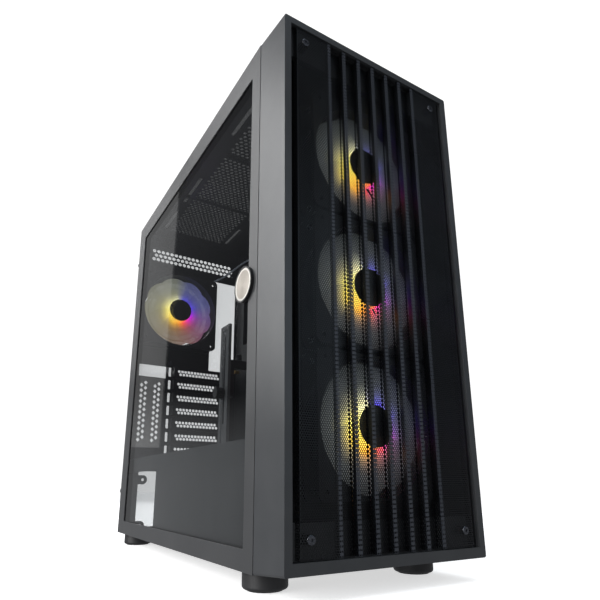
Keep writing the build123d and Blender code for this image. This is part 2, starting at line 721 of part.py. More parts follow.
# ---- dust filters ----
FILTER_THICK = 1.6


def framed_mesh(x0, x1, y0, y1, z0, bars):
    """A thin filter: a rim with bars, and a fine net drawn as a plain skin inside it."""
    rim = block(x0, x1, y0, y1, z0, z0 + FILTER_THICK)
    pitch = (y1 - y0 - 8) / bars
    for number in range(bars):
        near = y0 + 4 + pitch * number
        opening = block(x0 + 8, x1 - 8, near + 4, near + pitch - 4, z0 + 0.6, z0 + FILTER_THICK + 1)
        rim -= opening
    return rim


pieces["top_dust_filter"] = framed_mesh(-88, 62, 50, 396, BODY_HEIGHT, 3)
FILTER_Z = -4.0
FILTER_HALF = 53.0
RAIL = 5.0


def bottom_filter():
    """Slide-out filter under the power supply, with a finger lip at its rear."""
    body = framed_mesh(-FILTER_HALF, FILTER_HALF, 244, 416, FILTER_Z + 0.8, 2)
    return body + block(-20, 16, 414.6, 416, FILTER_Z - 2.0, FILTER_Z + 0.8 + FILTER_THICK)


pieces["bottom_dust_filter"] = bottom_filter()


def filter_rails():
    """Two rails under the pan that carry the bottom filter."""
    group = []
    for x, inward in ((-FILTER_HALF, 1), (FILTER_HALF, -1)):
        outer = x - inward * 2.4
        rail = block(outer, x - inward * 0.4, 240, 412, FILTER_Z - 0.4, 0)
        rail += block(outer, x + inward * RAIL, 240, 412, FILTER_Z - 0.4, FILTER_Z + 0.4)
        group.append(rail)
    return group


pieces["filter_rails"] = filter_rails()

# ---- feet ----
FOOT_RADIUS = 18.0
PAD_RADIUS = 14.0
PAD_THICK = 2.5


def feet():
    """Four round moulded feet, screwed up into the pan, each hollow below for its rubber pad."""
    group = []
    for side in (-1, 1):
        for y in FOOT_Y:
            x = side * FOOT_X
            body = rod(x, y, 0, FOOT_RADIUS, FOOT_HEIGHT - 1, (0, 0, -1))
            body = fillet(body.edges().group_by(Axis.Z)[0], 2.5)
            body -= rod(x, y, -FOOT_HEIGHT, PAD_RADIUS, PAD_THICK, (0, 0, 1))
            group.append(body + rod(x, y, 0, FOOT_SCREW - 0.05, 3.0, (0, 0, 1)))
    return group


def foot_pads():
    """Rubber pads that the case stands on."""
    group = []
    for side in (-1, 1):
        for y in FOOT_Y:
            group.append(rod(side * FOOT_X, y, -FOOT_HEIGHT, PAD_RADIUS, PAD_THICK, (0, 0, 1)))
    return group


pieces["feet"] = feet()
pieces["foot_pads"] = foot_pads()

# ---- drive cage and trays ----
CAGE_Y = (28.0, 136.5)
TRAY_Y = (30.0, 134.5)
DRIVE_TRAY_Z = (8.0, 44.0)
DRIVE_TRAY_X = (-75.0, 72.0)


def drive_cage():
    """Riveted cage for two drives, with side rails under each tray."""
    y0, y1 = CAGE_Y
    x0, x1 = -78.0, 70.0
    cage = block(x0, x1, y0, y0 + SHEET, SHEET, 80)
    cage += block(x0, x1, y1 - SHEET, y1, SHEET, 80)
    cage += block(x0, x1, y0, y1, 79.2, 80)
    for z in DRIVE_TRAY_Z:
        for wall in (y0 + SHEET, y1 - SHEET - 4):
            cage += block(x0, x1, wall, wall + 4, z - 1.2, z - 0.4)
    return cage


def drive_tray(z):
    """Moulded tray that holds one 3.5-inch drive, with a finger grip at its outer end."""
    x0, x1 = DRIVE_TRAY_X
    y0, y1 = TRAY_Y
    body = block(x0, x1, y0, y1, z, z + 25)
    body -= block(x0 + 2, x1 - 2, y0 + 2, y1 - 2, z + 2, z + 26)
    body -= block(x0 - 1, x0 + 3, y0 + 12, y1 - 12, z + 8, z + 26)
    for shift in (-28, 28):
        middle = (y0 + y1) / 2 + shift
        body -= block(x0 + 30, x1 - 30, middle - 14, middle + 14, z - 1, z + 3)
    return body + block(x1, x1 + 1.6, y0 + 30, y1 - 30, z + 4, z + 21)


pieces["drive_cage"] = drive_cage()
for number, z in enumerate(DRIVE_TRAY_Z, start=1):
    pieces[f"drive_tray_{number}"] = drive_tray(z)


def ssd_plate():
    """Shallow steel pan for a 2.5-inch drive, on the back of the motherboard tray."""
    x0 = TRAY_X + SHEET
    pan = block(x0 + 4, x0 + 4.8, 40, 116, 180, 290)
    for z0, z1 in ((180, 180.8), (289.2, 290)):
        pan += block(x0, x0 + 4.8, 40, 116, z0, z1)
    holes = [rod(x0 - 1, y, z, 1.7, 8, (1, 0, 0)) for y in (47.14, 108.86) for z in (196.7, 273.3)]
    for opening in holes:
        pan -= opening
    return pan


pieces["ssd_plate"] = ssd_plate()

# ---- front-panel sockets and buttons ----
BOARD_TOP = BODY_HEIGHT - 16.0
BUTTON_STAND = 1.2
POWER_TRAVEL = 1.5
SWITCH_HEIGHT = 5.0


def io_board():
    """Circuit board under the top panel, on two pillars."""
    left, right = IO_BOARD_X
    board = block(left, right, IO_ROW_Y - 9, IO_ROW_Y + 9, BOARD_TOP - 1.6, BOARD_TOP)
    for x in (left + 4, right - 4):
        board += rod(x, IO_ROW_Y, BOARD_TOP, 2.5, BODY_HEIGHT - SHEET - BOARD_TOP, (0, 0, 1))
    return board


def usb_sockets():
    """Three USB sockets: a steel shell and a tongue in each."""
    group = []
    wide, deep = USB_SIZE[0] - 0.3, USB_SIZE[1] - 0.3
    top = BODY_HEIGHT - 0.3
    for x in USB_X:
        shell = block(x - wide / 2, x + wide / 2, IO_ROW_Y - deep / 2, IO_ROW_Y + deep / 2, BOARD_TOP, top)
        shell -= block(x - wide / 2 + 0.6, x + wide / 2 - 0.6, IO_ROW_Y - deep / 2 + 0.6,
                       IO_ROW_Y + deep / 2 - 0.6, BOARD_TOP + 2, top + 1)
        tongue = block(x - 5.6, x + 5.6, IO_ROW_Y - 2.4, IO_ROW_Y - 0.6, BOARD_TOP + 2, top - 1.5)
        group.append(shell + tongue)
    return group


def audio_sockets():
    """Two 3.5 mm audio sockets."""
    group = []
    for x in AUDIO_X:
        body = block(x - 5, x + 5, IO_ROW_Y - 5, IO_ROW_Y + 5, BOARD_TOP, BODY_HEIGHT - SHEET)
        body += rod(x, IO_ROW_Y, BODY_HEIGHT - SHEET, AUDIO_RADIUS - 0.05, 0.6, (0, 0, 1))
        group.append(body - rod(x, IO_ROW_Y, BOARD_TOP + 2, 1.8, 20, (0, 0, 1)))
    return group


def switches():
    """Tact switches under the two buttons."""
    group = []
    for x in (POWER_X, RESET_X):
        body = block(x - 3, x + 3, IO_ROW_Y - 3, IO_ROW_Y + 3, BOARD_TOP, BOARD_TOP + SWITCH_HEIGHT)
        group.append(body)
    return group


def button(x, radius, stand):
    """A round push button with a stepped skirt below the panel and a stem down to its switch."""
    under = BODY_HEIGHT - SHEET - GAP
    stem_low = BOARD_TOP + SWITCH_HEIGHT + POWER_TRAVEL + 0.3
    cap = rod(x, IO_ROW_Y, under, radius, BODY_HEIGHT + stand - under, (0, 0, 1))
    cap = fillet(cap.edges().group_by(Axis.Z)[-1], 0.5)
    skirt = rod(x, IO_ROW_Y, under - 1.2, radius + 1.2, 1.2, (0, 0, 1))
    stem = rod(x, IO_ROW_Y, stem_low, 1.6, under - 1.2 - stem_low, (0, 0, 1))
    return cap + skirt + stem


pieces["io_board"] = io_board()
pieces["usb_sockets"] = usb_sockets()
pieces["audio_sockets"] = audio_sockets()
pieces["panel_switches"] = switches()
pieces["power_button"] = button(POWER_X, POWER_RADIUS, BUTTON_STAND)
pieces["reset_button"] = button(RESET_X, RESET_RADIUS, BUTTON_STAND)

# ---- graphics card support ----
POST_X = -50.0
POST_Y = (168.0, 191.0)
POST_THICK = 3.4
POST_TOP = 246.0
ARM_Z = (194.5, 204.0)
KNOB_X = -34.0
STUD_Y = 180.0
STUD_DROP = 29.5
STUD_REACH = 6.6
STUD_RADIUS = 1.9
STUD_PLAY = 0.05


def support_post():
    """Folded steel post on the shroud deck, with a guide slot for the arm's clamp."""
    y0, y1 = POST_Y
    post = block(POST_X, POST_X + POST_THICK, y0, y1, SHROUD_TOP, POST_TOP)
    post -= block(POST_X - 1, POST_X + 0.8, y0 + 7, y1 - 7, SHROUD_TOP + 8, POST_TOP - 6)
    slot = block(POST_X - 1, POST_X + 6, STUD_Y - 2.2, STUD_Y + 2.2, 130, POST_TOP - 12)
    foot = block(POST_X, POST_X + 24, y0, y1, SHROUD_TOP, SHROUD_TOP + 1.2)
    return post - slot + foot


def support_arm():
    """Black arm that carries the card's end: it slides up and down the post."""
    low, high = ARM_Z
    x0 = POST_X + POST_THICK + 0.3
    arm = block(x0, 40, 172, 176.6, low, high)
    arm += block(x0, x0 + 6, 172, 188, low - 34, high)
    arm += block(20, 40, 160, 176.6, high - 2.2, high)
    stud_length = x0 + 1 - POST_X + STUD_REACH
    stud = rod(POST_X - STUD_REACH, STUD_Y, low - STUD_DROP, STUD_RADIUS, stud_length, (1, 0, 0))
    knob = rod(KNOB_X, 174.3, high, 3.6, 7.0, (0, 0, 1))
    return arm + stud + fillet(knob.edges().group_by(Axis.Z)[-1], 1.0)


def clamp_knob():
    """Fluted knob that tightens the arm on the post."""
    z = ARM_Z[0] - STUD_DROP
    knob = rod(POST_X - 10, STUD_Y, z, 6.5, 9.7, (1, 0, 0))
    knob -= rod(POST_X - STUD_REACH - 0.3, STUD_Y, z, STUD_RADIUS + STUD_PLAY, 7.0, (1, 0, 0))
    for flute in range(12):
        angle = 2 * math.pi * flute / 12
        knob -= rod(POST_X - 11, STUD_Y + 7 * math.cos(angle), z + 7 * math.sin(angle), 1.1, 12, (1, 0, 0))
    return knob


pieces["card_support_post"] = support_post()
pieces["card_support_arm"] = support_arm()
pieces["card_support_knob"] = clamp_knob()

# ---- rear fan's lead ----
LEAD_RADIUS = 1.5
LEAD_ROUTE = (
    (19.0, 396.0, 396.0),
    (31.0, 391.5, 403.0),
    (46.0, 386.0, 415.0),
    (60.0, 379.0, 430.0),
    (75.0, 370.0, 442.0),
    (87.0, 359.0, 437.0),
    (90.0, 350.0, 422.0),
)


def arc_radii(route, share=0.45):
    """The arcs that fit a route's corners: a share of the shorter run over the half turn's tangent."""
    radii = []
    for before, here, after in zip(route, route[1:], route[2:]):
        first = Vector(*here) - Vector(*before)
        second = Vector(*after) - Vector(*here)
        turn = math.radians(first.get_angle(second))
        radii.append(share * min(first.length, second.length) / math.tan(turn / 2))
    return radii


def rear_fan_lead():
    """The rear fan's lead, from its housing through the top hole of the tray."""
    radii = arc_radii(LEAD_ROUTE)
    print("lead arcs", [round(r, 1) for r in radii])
    path = FilletPolyline(*LEAD_ROUTE, radius=radii)
    start = Plane(origin=path @ 0, z_dir=path % 0)
    tube = sweep(start * Circle(LEAD_RADIUS), path=path)
    print("lead volume ratio", round(tube.volume / (path.length * math.pi * LEAD_RADIUS**2), 4))
    return tube


pieces["rear_fan_lead"] = rear_fan_lead()

# ---- write one file for each piece, in the finished frame ----
os.makedirs("parts", exist_ok=True)
for name, shape in pieces.items():
    solids = shape if isinstance(shape, list) else shape.solids()
    moved = [Pos(*SHIFT) * solid for solid in solids]
    whole = moved[0] if len(moved) == 1 else Compound(children=[s for m in moved for s in m.solids()])
    export_step(whole, f"parts/{name}.step")
print(len(pieces), "pieces written")
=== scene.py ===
import math

import bmesh
import bpy
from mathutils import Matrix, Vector


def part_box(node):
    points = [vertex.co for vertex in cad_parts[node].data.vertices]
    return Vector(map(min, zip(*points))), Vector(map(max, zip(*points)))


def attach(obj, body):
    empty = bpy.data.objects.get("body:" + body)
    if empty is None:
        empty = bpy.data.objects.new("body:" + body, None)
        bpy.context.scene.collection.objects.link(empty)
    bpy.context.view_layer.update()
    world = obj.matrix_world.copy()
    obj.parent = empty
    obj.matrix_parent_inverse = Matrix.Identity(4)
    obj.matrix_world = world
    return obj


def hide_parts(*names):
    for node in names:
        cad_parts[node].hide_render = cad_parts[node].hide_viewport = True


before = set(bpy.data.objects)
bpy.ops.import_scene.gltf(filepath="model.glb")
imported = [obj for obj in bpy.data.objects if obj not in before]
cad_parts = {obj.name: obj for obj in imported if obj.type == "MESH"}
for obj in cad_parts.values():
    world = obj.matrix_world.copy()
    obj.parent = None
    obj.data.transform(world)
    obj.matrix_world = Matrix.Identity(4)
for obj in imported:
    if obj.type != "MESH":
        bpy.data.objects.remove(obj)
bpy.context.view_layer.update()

# ---- the view ----
# The camera stands low at the front left corner of the tower, so that the bezel's left side and the whole
# glass panel are seen together, and looks a little up. The shift only brings the tower to mid-frame.
CAMERA_PLACE = Vector((-0.2752, -0.5289, 0.0763))
CAMERA_YAW, CAMERA_PITCH = 0.542, 0.251
CAMERA_LENS = 29.84
CAMERA_SHIFT = (0.02156, 0.09885)
camera = bpy.data.objects.new("camera", bpy.data.cameras.new("camera"))
bpy.context.scene.collection.objects.link(camera)
level = math.cos(CAMERA_PITCH)
look = Vector((math.sin(CAMERA_YAW) * level, math.cos(CAMERA_YAW) * level, math.sin(CAMERA_PITCH)))
camera.location = CAMERA_PLACE
camera.rotation_mode = "QUATERNION"
camera.rotation_quaternion = look.to_track_quat("-Z", "Y")
camera.data.lens = CAMERA_LENS
camera.data.shift_x, camera.data.shift_y = CAMERA_SHIFT
camera.data.clip_start = 0.01
bpy.context.scene.camera = camera
bpy.context.scene.view_settings.view_transform = "Standard"

# ---- rear fan's lead ----
# A thin sleeved lead of four fine wires. It leaves the top corner of the rear fan's housing and goes up and
# across to the hole at the top of the motherboard tray, where it passes behind the tray.
MM = 0.001
CASE_TO_ROW = Vector((1.5, -190.05, 15.0))
NURBS_ORDER = 3
LEAD_DIAMETER = 3.0 * MM
LEAD_ROUTE = [(19, 396, 396), (31, 391.5, 403), (46, 386, 415), (60, 379, 430), (75, 370, 442), (87, 359, 437),
              (90, 350, 422)]


def finish(name, **plain):
    """A new material whose shader's own sockets hold what is the same all over the surface."""
    made = bpy.data.materials.new(name)
    made.use_nodes = True
    shader = made.node_tree.nodes["Principled BSDF"]
    for socket, value in plain.items():
        shader.inputs[socket.replace("_", " ")].default_value = value
    return made, made.node_tree, shader


def grain(tree, per_metre, detail=3.0, stretch=(1, 1, 1), kind="ShaderNodeTexNoise"):
    """An uneven pattern fixed in the piece, with so many patches to a metre."""
    place = tree.nodes.new("ShaderNodeTexCoord")
    sized = tree.nodes.new("ShaderNodeMapping")
    sized.inputs["Scale"].default_value = [per_metre * share for share in stretch]
    pattern = tree.nodes.new(kind)
    pattern.inputs["Scale"].default_value = 1.0
    if kind == "ShaderNodeTexNoise":
        pattern.inputs["Detail"].default_value = detail
    tree.links.new(place.outputs["Object"], sized.inputs["Vector"])
    tree.links.new(sized.outputs["Vector"], pattern.inputs["Vector"])
    return pattern.outputs[0]


def spread(tree, amount, low, high, start=0.3, end=0.7):
    """A value that goes from low to high while the amount goes from start to end."""
    span = tree.nodes.new("ShaderNodeMapRange")
    for socket, value in zip(("From Min", "From Max", "To Min", "To Max"), (start, end, low, high)):
        span.inputs[socket].default_value = value
    tree.links.new(amount, span.inputs["Value"])
    return span.outputs["Result"]


def shades(tree, amount, stops):
    """A colour that passes through the stops, each a place from 0 to 1 and a colour."""
    ramp = tree.nodes.new("ShaderNodeValToRGB")
    marks = ramp.color_ramp.elements
    while len(marks) < len(stops):
        marks.new(1.0)
    for mark, (place, colour) in zip(marks, stops):
        mark.position = place
        mark.color = (*colour, 1.0)
    tree.links.new(amount, ramp.inputs["Fac"])
    return ramp.outputs["Color"]


def relief(tree, shader, height, depth, rounding=0.0):
    """Raises the surface by the height pattern, and rounds its sharp edges by a small radius."""
    bump = tree.nodes.new("ShaderNodeBump")
    bump.inputs["Distance"].default_value = depth
    bump.inputs["Strength"].default_value = 1.0
    tree.links.new(height, bump.inputs["Height"])
    if rounding:
        edge = tree.nodes.new("ShaderNodeBevel")
        edge.samples = 4
        edge.inputs["Radius"].default_value = rounding
        tree.links.new(edge.outputs["Normal"], bump.inputs["Normal"])
    tree.links.new(bump.outputs["Normal"], shader.inputs["Normal"])


def painted_edge_highlight(tree, radius):
    """How close a point is to an outer edge, from 0 on the flat to about 1 on the edge: where the painted edge
    highlight goes.
    """
    edge = tree.nodes.new("ShaderNodeBevel")
    edge.samples = 4
    edge.inputs["Radius"].default_value = radius
    facing = tree.nodes.new("ShaderNodeNewGeometry")
    match = tree.nodes.new("ShaderNodeVectorMath")
    match.operation = "DOT_PRODUCT"
    tree.links.new(edge.outputs["Normal"], match.inputs[0])
    tree.links.new(facing.outputs["Normal"], match.inputs[1])
    return spread(tree, match.outputs["Value"], 1.0, 0.0, 0.75, 0.99)


def blended(tree, amount, first, second):
    """Two colours or patterns mixed by an amount from 0 to 1."""
    mix = tree.nodes.new("ShaderNodeMix")
    mix.data_type = "RGBA"
    for socket, value in ((mix.inputs[6], first), (mix.inputs[7], second)):
        if isinstance(value, tuple):
            socket.default_value = (*value, 1.0)
        else:
            tree.links.new(value, socket)
    tree.links.new(amount, mix.inputs[0])
    return mix.outputs[2]


def smooth_line(points, name, diameter):
    """A round cord along a smooth line that the points pull towards them."""
    line = bpy.data.curves.new(name, "CURVE")
    line.dimensions = "3D"
    spline = line.splines.new("NURBS")
    spline.points.add(len(points) - 1)
    for knot, place in zip(spline.points, points):
        knot.co = (*place, 1.0)
    spline.order_u = NURBS_ORDER
    spline.use_endpoint_u = True
    spline.resolution_u = 16
    line.bevel_depth = diameter / 2
    line.bevel_resolution = 6
    line.use_fill_caps = True
    cord = bpy.data.objects.new(name, line)
    bpy.context.scene.collection.objects.link(cord)
    return cord


def sleeve_finish():
    """Dull grey braid: two fine crossing sets of threads."""
    made, tree, shader = finish("lead_sleeve", Specular_IOR_Level=0.4)
    threads = grain(tree, 1400, kind="ShaderNodeTexVoronoi")
    tree.links.new(shades(tree, threads, [(0.0, (0.75, 0.8, 0.9)), (0.8, (0.4, 0.44, 0.5))]),
                   shader.inputs["Base Color"])
    tree.links.new(spread(tree, threads, 0.45, 0.7, 0.0, 1.0), shader.inputs["Roughness"])
    relief(tree, shader, threads, 0.0002)
    return made


route = [(Vector(point) + CASE_TO_ROW) * MM for point in LEAD_ROUTE]
lead = smooth_line(route, "rear_fan_lead_sleeve", LEAD_DIAMETER)
lead.data.materials.append(sleeve_finish())
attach(lead, "case")
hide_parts("rear_fan_lead")

# ---- studio ----
# A plain white floor in a white surround, with soft lamps at the left, above, in front and behind. A tall
# card far behind on the left shows as a pale veil over the rear of the glass.
FLOOR_HALF = 6.0
FLOOR_GLOW = 0.62
SEEN_WHITE = 1.12
SOFT_WHITE = 0.5
MIRRORED_WALLS = [(0.0, (0.31, 0.315, 0.325)), (0.08, (0.27, 0.275, 0.285)), (0.18, (0.035, 0.036, 0.04)),
                  (1.0, (0.15, 0.155, 0.165))]


def soft_lamp(name, place, aim, wide, tall, power, tint=(1, 1, 1)):
    """A large soft lamp at a place, turned towards a point."""
    lamp = bpy.data.objects.new(name, bpy.data.lights.new(name, "AREA"))
    lamp.data.shape = "RECTANGLE"
    lamp.data.size, lamp.data.size_y = wide, tall
    lamp.data.energy = power
    lamp.data.color = tint
    lamp.location = place
    lamp.rotation_mode = "QUATERNION"
    lamp.rotation_quaternion = (Vector(aim) - Vector(place)).to_track_quat("-Z", "Y")
    lamp.visible_camera = False
    bpy.context.scene.collection.objects.link(lamp)
    return lamp


soft_lamp("left_lamp", (-0.95, 0.7, 0.9), (-0.1, -0.2, 0.3), 0.4, 1.0, 8.5)
soft_lamp("side_lamp", (-3.0, -0.3, 1.0), (0, 0, 0.25), 2.0, 2.0, 105)
soft_lamp("tall_card", (-0.46, 1.5, 0.95), (-0.1, 0.1, 0.4), 0.16, 1.5, 0.2)
soft_lamp("top_lamp", (-0.2, -0.6, 2.2), (0, 0, 0.2), 1.6, 1.2, 10, (0.75, 0.88, 1.0))
soft_lamp("front_lamp", (1.0, -1.9, 0.9), (0, -0.2, 0.25), 0.9, 1.2, 3.5, (0.7, 0.85, 1.0))
soft_lamp("rear_lamp", (0.3, 1.8, 1.1), (0, 0.2, 0.25), 1.4, 1.0, 14)


def plain_light(tree, strength, colour=(1, 1, 1)):
    """An even layer of the surround."""
    layer = tree.nodes.new("ShaderNodeBackground")
    layer.inputs["Color"].default_value = (*colour, 1)
    layer.inputs["Strength"].default_value = strength
    return layer.outputs["Background"]


def layered(tree, amount, first, second):
    """Two shaders mixed by an amount from 0 to 1."""
    mix = tree.nodes.new("ShaderNodeMixShader")
    tree.links.new(amount, mix.inputs["Fac"])
    tree.links.new(first, mix.inputs[1])
    tree.links.new(second, mix.inputs[2])
    return mix.outputs["Shader"]


def surround():
    """White where it is seen, soft on dull surfaces, and darker overhead where a surface mirrors it."""
    world = bpy.data.worlds.new("surround")
    world.use_nodes = True
    tree = world.node_tree
    heading = tree.nodes.new("ShaderNodeTexCoord")
    apart = tree.nodes.new("ShaderNodeSeparateXYZ")
    tree.links.new(heading.outputs["Generated"], apart.inputs["Vector"])
    mirrored = tree.nodes["Background"]
    tree.links.new(shades(tree, apart.outputs["Z"], MIRRORED_WALLS), mirrored.inputs["Color"])
    ray = tree.nodes.new("ShaderNodeLightPath")
    lit = layered(tree, ray.outputs["Is Diffuse Ray"], mirrored.outputs["Background"],
                  plain_light(tree, SOFT_WHITE, (0.96, 0.98, 1.0)))
    whole = layered(tree, ray.outputs["Is Camera Ray"], lit, plain_light(tree, SEEN_WHITE))
    tree.links.new(whole, tree.nodes["World Output"].inputs["Surface"])
    return world


def floor_paper():
    """Matt white paper with faint fibres, which glows so that it stays as white as the surround."""
    made, tree, shader = finish("floor_paper", Specular_IOR_Level=0.1, Emission_Color=(1, 1, 1, 1),
                                 Emission_Strength=FLOOR_GLOW)
    fibres = grain(tree, 300)
    tree.links.new(shades(tree, fibres, [(0.3, (0.86, 0.86, 0.86)), (0.7, (0.9, 0.9, 0.9))]),
                   shader.inputs["Base Color"])
    tree.links.new(spread(tree, fibres, 0.8, 0.95), shader.inputs["Roughness"])
    return made


bpy.context.scene.world = surround()
floor_mesh = bpy.data.meshes.new("floor")
corners = [(x * FLOOR_HALF, y * FLOOR_HALF, 0) for x, y in ((-1, -1), (1, -1), (1, 1), (-1, 1))]
floor_mesh.from_pydata(corners, [], [(0, 1, 2, 3)])
floor_mesh.materials.append(floor_paper())
floor = bpy.data.objects.new("floor", floor_mesh)
bpy.context.scene.collection.objects.link(floor)
floor.visible_glossy = floor.visible_diffuse = False

# ---- chassis sheets ----
# Cold-rolled steel, 0.8 mm, cut and folded and then powder-coated satin black, with a fine orange peel. Cut
# edges get a painted highlight, a paler colour where they catch the light. The sheets are riveted to each
# other.


def paint(made, *nodes):
    """Gives a finish to pieces of the frame, in place of their plain one."""
    for name in nodes:
        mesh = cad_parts[name].data
        mesh.materials.clear()
        mesh.materials.append(made)


def powder_coat(name, dark, light, gloss=(0.34, 0.46), edge=(0.06, 0.062, 0.068)):
    """Satin powder coat: cloudy black, orange peel, uneven gloss, and a painted highlight that makes the edges
    paler.
    """
    made, tree, shader = finish(name, Specular_IOR_Level=0.5)
    cloud = grain(tree, 26, 5.0)
    peel = grain(tree, 850, 2.0)
    colour = shades(tree, cloud, [(0.3, dark), (0.7, light)])
    # The edge colour is a painted highlight, mixed in along the outer edges.
    tree.links.new(blended(tree, painted_edge_highlight(tree, 0.0005), colour, edge), shader.inputs["Base Color"])
    tree.links.new(spread(tree, cloud, *gloss), shader.inputs["Roughness"])
    relief(tree, shader, peel, 0.00004, 0.0004)
    return made


chassis_coat = powder_coat("chassis_coat", (0.005, 0.0053, 0.006), (0.009, 0.0095, 0.0105))
paint(chassis_coat, "bottom_pan", "rear_panel", "front_chassis_wall", "motherboard_tray", "slot_covers",
      "upright_slot_covers", "drive_cage", "ssd_plate")

# ---- top panel ----
# The roof of the chassis, folded from the same sheet. Staggered round vents fill its middle, with two rows
# of slots for a radiator beside them, and the holes of the buttons and sockets are near the front.
SHEET = 0.8
PAN_HALF = 93.6
ROOF_Z = 466.0
ROOF_Y = (0.8, 413.0)
ROOF_LIP = 11.8
VENT_FIELD = (-60.0, 24.0, 62.0, 385.0)
VENT_STEP = 6.4
VENT_RADIUS = 2.25
RADIATOR_SLOTS = ((-71.0, ((62, 128), (227, 295), (326, 382))),
                  (34.0, ((62, 128), (160, 215), (227, 293), (326, 382))))
SLOT_HALF = 2.2
BUTTON_ROW_Y = 22.0
ROOF_BORES = ((-74.0, 7.3), (-54.0, 3.8), (-30.0, 3.3), (-14.0, 3.3))
USB_X = (10.0, 32.0, 54.0)
USB_HALF_WIDE, USB_HALF_TALL = 6.9, 3.2


def ring(x, y, radius, sides=12):
    """The outline of a round hole."""
    turns = [2 * math.pi * i / sides for i in range(sides)]
    return [(x + radius * math.cos(turn), y + radius * math.sin(turn)) for turn in turns]


def oblong(x0, x1, y0, y1, corner=0.0, steps=4):
    """The outline of a rectangle with rounded corners."""
    if not corner:
        return [(x0, y0), (x1, y0), (x1, y1), (x0, y1)]
    middles = ((x1 - corner, y1 - corner, 0), (x0 + corner, y1 - corner, 1), (x0 + corner, y0 + corner, 2),
               (x1 - corner, y0 + corner, 3))
    outline = []
    for x, y, quarter in middles:
        for i in range(steps + 1):
            turn = math.pi / 2 * (quarter + i / steps)
            outline.append((x + corner * math.cos(turn), y + corner * math.sin(turn)))
    return outline


def plate(name, outlines, low, thick):
    """A level plate, in millimetres of the case: the first outline is its outside and the rest are holes."""
    curve = bpy.data.curves.new(name, "CURVE")
    curve.dimensions = "2D"
    curve.fill_mode = "BOTH"
    curve.extrude = thick / 2 * MM
    for outline in outlines:
        spline = curve.splines.new("POLY")
        spline.points.add(len(outline) - 1)
        spline.use_cyclic_u = True
        for knot, (x, y) in zip(spline.points, outline):
            knot.co = ((x + CASE_TO_ROW.x) * MM, (y + CASE_TO_ROW.y) * MM, 0, 1)
    drawn = bpy.data.objects.new(name, curve)
    mesh = bpy.data.meshes.new_from_object(drawn)
    for corner in mesh.vertices:
        corner.co.z += (low + thick / 2 + CASE_TO_ROW.z) * MM
    bpy.data.objects.remove(drawn)
    piece = bpy.data.objects.new(name, mesh)
    bpy.context.scene.collection.objects.link(piece)
    return piece


def add_block(mesh_maker, x0, x1, y0, y1, z0, z1):
    """Adds a closed box to a mesh being made, in millimetres of the case."""
    found = bmesh.ops.create_cube(mesh_maker, size=1.0)["verts"]
    middle = (Vector((x0 + x1, y0 + y1, z0 + z1)) / 2 + CASE_TO_ROW) * MM
    size = Vector((x1 - x0, y1 - y0, z1 - z0)) * MM
    for corner in found:
        corner.co = Vector(a * b for a, b in zip(corner.co, size)) + middle


def add_blocks(piece, boxes):
    """Adds closed boxes to a piece's mesh."""
    maker = bmesh.new()
    maker.from_mesh(piece.data)
    for box in boxes:
        add_block(maker, *box)
    maker.to_mesh(piece.data)
    maker.free()


roof_cuts = [oblong(-PAN_HALF, PAN_HALF, *ROOF_Y)]
roof_cuts += [ring(x, BUTTON_ROW_Y, radius, 24) for x, radius in ROOF_BORES]
roof_cuts += [oblong(x - USB_HALF_WIDE, x + USB_HALF_WIDE, BUTTON_ROW_Y - USB_HALF_TALL,
                     BUTTON_ROW_Y + USB_HALF_TALL, 0.5) for x in USB_X]
for x, spans in RADIATOR_SLOTS:
    roof_cuts += [oblong(x - SLOT_HALF, x + SLOT_HALF, a, b, SLOT_HALF - 0.05) for a, b in spans]
field_x0, field_x1, field_y0, field_y1 = VENT_FIELD
vent_row_step = VENT_STEP * math.sqrt(3) / 2
for row in range(int((field_y1 - field_y0) / vent_row_step) + 1):
    y = field_y0 + row * vent_row_step
    x = field_x0 + (row % 2) * VENT_STEP / 2
    while x <= field_x1:
        roof_cuts.append(ring(x, y, VENT_RADIUS, 10))
        x += VENT_STEP
roof = plate("top_panel_vented", roof_cuts, ROOF_Z - SHEET, SHEET)
add_blocks(roof, [(x, x + SHEET, SHEET, ROOF_Y[1] - SHEET, ROOF_Z - ROOF_LIP, ROOF_Z - SHEET)
                  for x in (-PAN_HALF, PAN_HALF - SHEET)])
roof.data.materials.append(chassis_coat)
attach(roof, "case")
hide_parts("top_panel")

# ---- dust filters ----
# The roof's filter is a thin magnetic frame with a woven nylon net in it, laid on the roof. The supply's has
# the same net in a stiffer frame with a tab, and slides out to the rear on two rails under the pan.
FILTER_THICK = 1.6
FILTER_RIM = 8.0
NET_EDGE = 7.8
NET_THICK = 0.3
TOP_FILTER = (-88.0, 62.0, 50.0, 396.0)
LOW_FILTER = (-53.0, 53.0, 244.0, 416.0)
LOW_FILTER_Z = -3.2
PULL_TAB = (-20, 16, 414.6, 416, -6.0, LOW_FILTER_Z)


def rim_finish():
    """Black magnetic rubber strip: matt, with a slight cross ribbing."""
    made, tree, shader = finish("filter_rim", Specular_IOR_Level=0.3)
    ribs = grain(tree, 220, 2.0)
    tree.links.new(shades(tree, ribs, [(0.3, (0.012, 0.012, 0.013)), (0.7, (0.03, 0.03, 0.032))]),
                   shader.inputs["Base Color"])
    tree.links.new(spread(tree, ribs, 0.55, 0.8), shader.inputs["Roughness"])
    relief(tree, shader, ribs, 0.0001)
    return made


def net_finish():
    """Woven nylon net, too fine to see through clearly: it lets a little light pass."""
    made, tree, shader = finish("filter_net", Specular_IOR_Level=0.3, Alpha=0.72)
    threads = grain(tree, 1200, kind="ShaderNodeTexVoronoi")
    tree.links.new(shades(tree, threads, [(0.1, (0.03, 0.031, 0.03)), (0.7, (0.012, 0.012, 0.012))]),
                   shader.inputs["Base Color"])
    tree.links.new(spread(tree, threads, 0.5, 0.8, 0.0, 1.0), shader.inputs["Roughness"])
    relief(tree, shader, threads, 0.0001)
    return made


